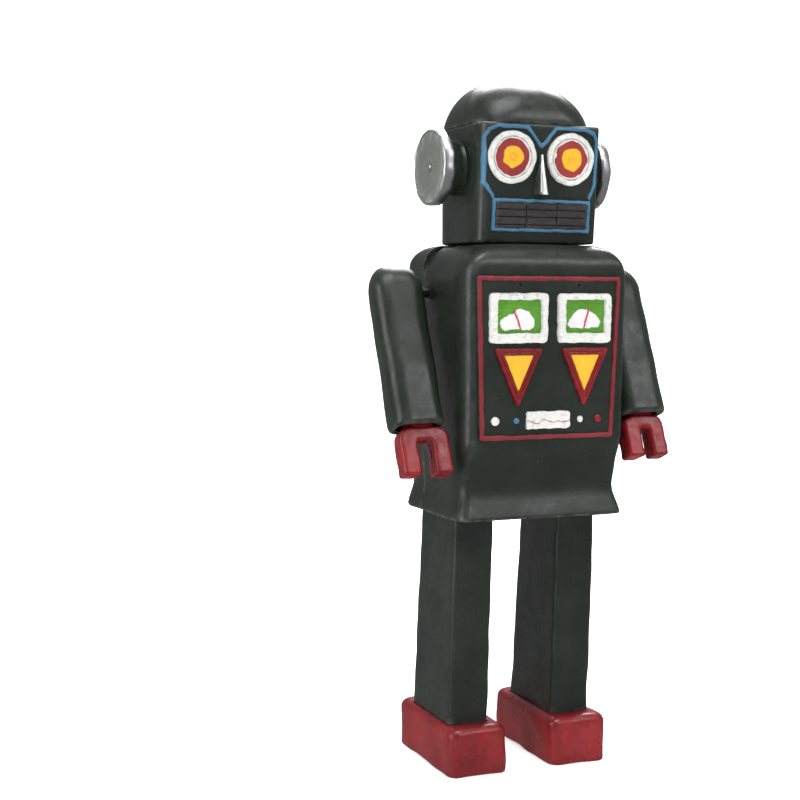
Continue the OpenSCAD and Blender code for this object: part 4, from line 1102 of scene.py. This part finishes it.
def foot(s):
    """A hollow block with soft edges and a seat for the leg in its top."""
    side = SIDE_NAMES[s]
    low, high = corners("foot_" + side)
    leg_low, leg_high = corners("leg_" + side)
    middle = ((low.x + high.x) / 2, (low.y + high.y) / 2)
    half = ((high.x - low.x) / 2, (high.y - low.y) / 2)
    seat = ((leg_low.x + leg_high.x) / 2, (FRONT_LOW + leg_high.y) / 2)
    seat_half = ((leg_high.x - leg_low.x) / 2 + 0.15, (leg_high.y - FRONT_LOW) / 2 + 0.15)

    def ring(z, draw, r=3.2):
        return level_ring(middle, (half[0] - draw, half[1] - draw), max(r - draw * 0.4, 1.2), z, side=16)

    def seat_ring(z, grow):
        return level_ring(seat, (seat_half[0] + grow, seat_half[1] + grow), 1.9 + max(grow, 0), z, side=16)

    outside = [ring(z, draw) for z, draw in ((0.0, 0.6), (0.15, 0.25), (0.5, 0.03))]
    outside += [ring(0.9 + k * (high.z - FOOT_EDGE - 0.9) / 8, 0.0) for k in range(9)]
    for a in range(12, 91, 13):
        turn = math.radians(a)
        outside.append(ring(high.z - FOOT_EDGE * (1 - math.sin(turn)), FOOT_EDGE * (1 - math.cos(turn))))
    hollow = [seat_ring(high.z, 0.25), seat_ring(high.z - 0.1, 0.05), seat_ring(high.z - 1.0, 0.0)]
    inside = [ring(high.z - 1.1, TIN + 1.2, 2.4), ring(high.z - 2.6, TIN + 0.05, 2.4),
              ring(0.0, TIN + 0.05, 2.4)]
    make("shoe_" + side, loft(outside + hollow + inside, loop=True), side + "_leg", RED, ["foot_" + side],
         wave=(0.45, 8))


# --- key ---------------------------------------------------------------------------

def winding_key():
    """Hub, and two looped wings bent from one flat strip."""
    low, high = corners("winding_key")
    centre = pivot("key_wind")
    wing_x = high.x - 5.0
    lobe = (high.z - low.z) / 4 - 0.25
    centre.x = 0.0
    plane = Upright(centre, 1)
    shapes = []
    profile = [(0.0, -0.55), (0.12, -0.78), (0.5, -0.8), (0.88, -0.78), (1.0, -0.55), (1.0, 0.55),
               (0.88, 0.78), (0.5, 0.8), (0.12, 0.78), (0.0, 0.55)]
    for s in (1, -1):
        outer = ellipse((wing_x, s * lobe), (lobe * 1.1, lobe), 48)
        inner = ellipse((wing_x + 0.3, s * lobe), (lobe * 0.52, lobe * 0.5), 48)
        shapes.append(ribbon(plane, outer, inner, profile))
    hub = turned([(low.x, 1.6), (low.x, 2.3), (low.x + 0.3, 2.6), (wing_x - 2.4, 2.6), (wing_x - 1.2, 2.3),
                  (wing_x + 0.2, 1.6), (wing_x + 0.9, 0.8)], centre, "X")
    make("key_wings", join(hub, *shapes), "key", TINPLATE, ["winding_key"], wave=(0.06, 3))


# --- carried-over CAD nodes -----------------------------------------------------------

def dress_cad_nodes():
    """Gives every CAD node the first finish of its own material slot."""
    named = {sub["node"]: sub["material_slot"] for sub in frame["record"]["subparts"]}
    for name, node in frame["nodes"].items():
        finish = SLOT_FINISHES.get(named.get(name), [STEEL])[0]
        for material_slot in node.material_slots:
            material_slot.material = finish


# --- stage, lights and camera -----------------------------------------------------------

def backdrop():
    """A pale floor that curves up into a wall far behind."""
    wide, near, far, rise, bend = 3.0, -2.0, 1.6, 2.4, 0.7
    profile = [(near, 0.0), (far - bend, 0.0)]
    profile += [(far - bend + bend * math.sin(math.radians(a)), bend - bend * math.cos(math.radians(a)))
                for a in range(6, 91, 6)]
    profile.append((far, rise))
    verts = [(x, y, z) for y, z in profile for x in (-wide, wide)]
    faces = [(2 * i, 2 * i + 1, 2 * i + 3, 2 * i + 2) for i in range(len(profile) - 1)]
    mesh = bpy.data.meshes.new("backdrop")
    mesh.from_pydata(verts, [], faces)
    mesh.polygons.foreach_set("use_smooth", [True] * len(faces))
    paper = bpy.data.materials.new("backdrop_paper")
    paper.use_nodes = True
    inputs = paper.node_tree.nodes["Principled BSDF"].inputs
    inputs["Base Color"].default_value = (0.93, 0.93, 0.93, 1)
    inputs["Roughness"].default_value = 0.9
    inputs["Emission Color"].default_value = (1, 1, 1, 1)
    inputs["Emission Strength"].default_value = 0.5
    mesh.materials.append(paper)
    stage = link("backdrop", mesh)
    stage.rotation_euler.z = -CAMERA_TURN
    stage.visible_glossy = False


def softbox(name, place, aim, size, watts):
    lamp_data = bpy.data.lights.new(name, "AREA")
    lamp_data.shape = "RECTANGLE"
    lamp_data.size, lamp_data.size_y = size
    lamp_data.energy = watts
    light = link(name, lamp_data)
    light.location = place
    light.rotation_euler = (Vector(aim) - Vector(place)).to_track_quat("-Z", "Y").to_euler()


CAMERA_AT = Vector((-0.2095, -0.4149, 0.1510))
CAMERA_TURN = math.radians(21.37)   # from +Y towards +X
CAMERA_DIP = math.radians(2.66)
CAMERA_ROLL = math.radians(0.25)


def camera():
    lens = bpy.data.cameras.new("camera")
    lens.lens = 64.45
    lens.sensor_width = 36
    lens.shift_x = 0.0295
    lens.shift_y = -0.0479
    eye_point = link("camera", lens)
    turn = (
        Matrix.Rotation(-CAMERA_TURN, 4, "Z")
        @ Matrix.Rotation(math.radians(90) - CAMERA_DIP, 4, "X")
        @ Matrix.Rotation(CAMERA_ROLL, 4, "Z")
    )
    eye_point.matrix_world = Matrix.Translation(CAMERA_AT) @ turn
    bpy.context.scene.camera = eye_point


def lights():
    world = bpy.data.worlds.new("studio")
    world.use_nodes = True
    world.node_tree.nodes["Background"].inputs["Color"].default_value = (1, 1, 1, 1)
    world.node_tree.nodes["Background"].inputs["Strength"].default_value = 0.25
    bpy.context.scene.world = world
    bpy.context.scene.view_settings.view_transform = "Standard"
    aim = (0, 0, 0.12)
    softbox("left_box", (-0.85, -0.1, 0.25), aim, (0.4, 0.8), 3.2)
    softbox("front_box", (0.42, -0.8, 0.66), aim, (0.7, 0.26), 2.6)
    softbox("top_box", (-0.05, -0.3, 0.95), aim, (0.7, 0.45), 5.5)
    softbox("rear_box", (0.3, 0.55, 0.85), aim, (0.6, 0.5), 11.0)
    softbox("back_wash", (0.3, 0.9, 1.2), (0.5, 1.5, 0.4), (1.5, 0.8), 14.0)


camera()
lights()
backdrop()
dress_cad_nodes()
torso()
chest()
head()
for sign in (LEFT, RIGHT):
    arm(sign)
    hand(sign)
    leg(sign)
    foot(sign)
winding_key()
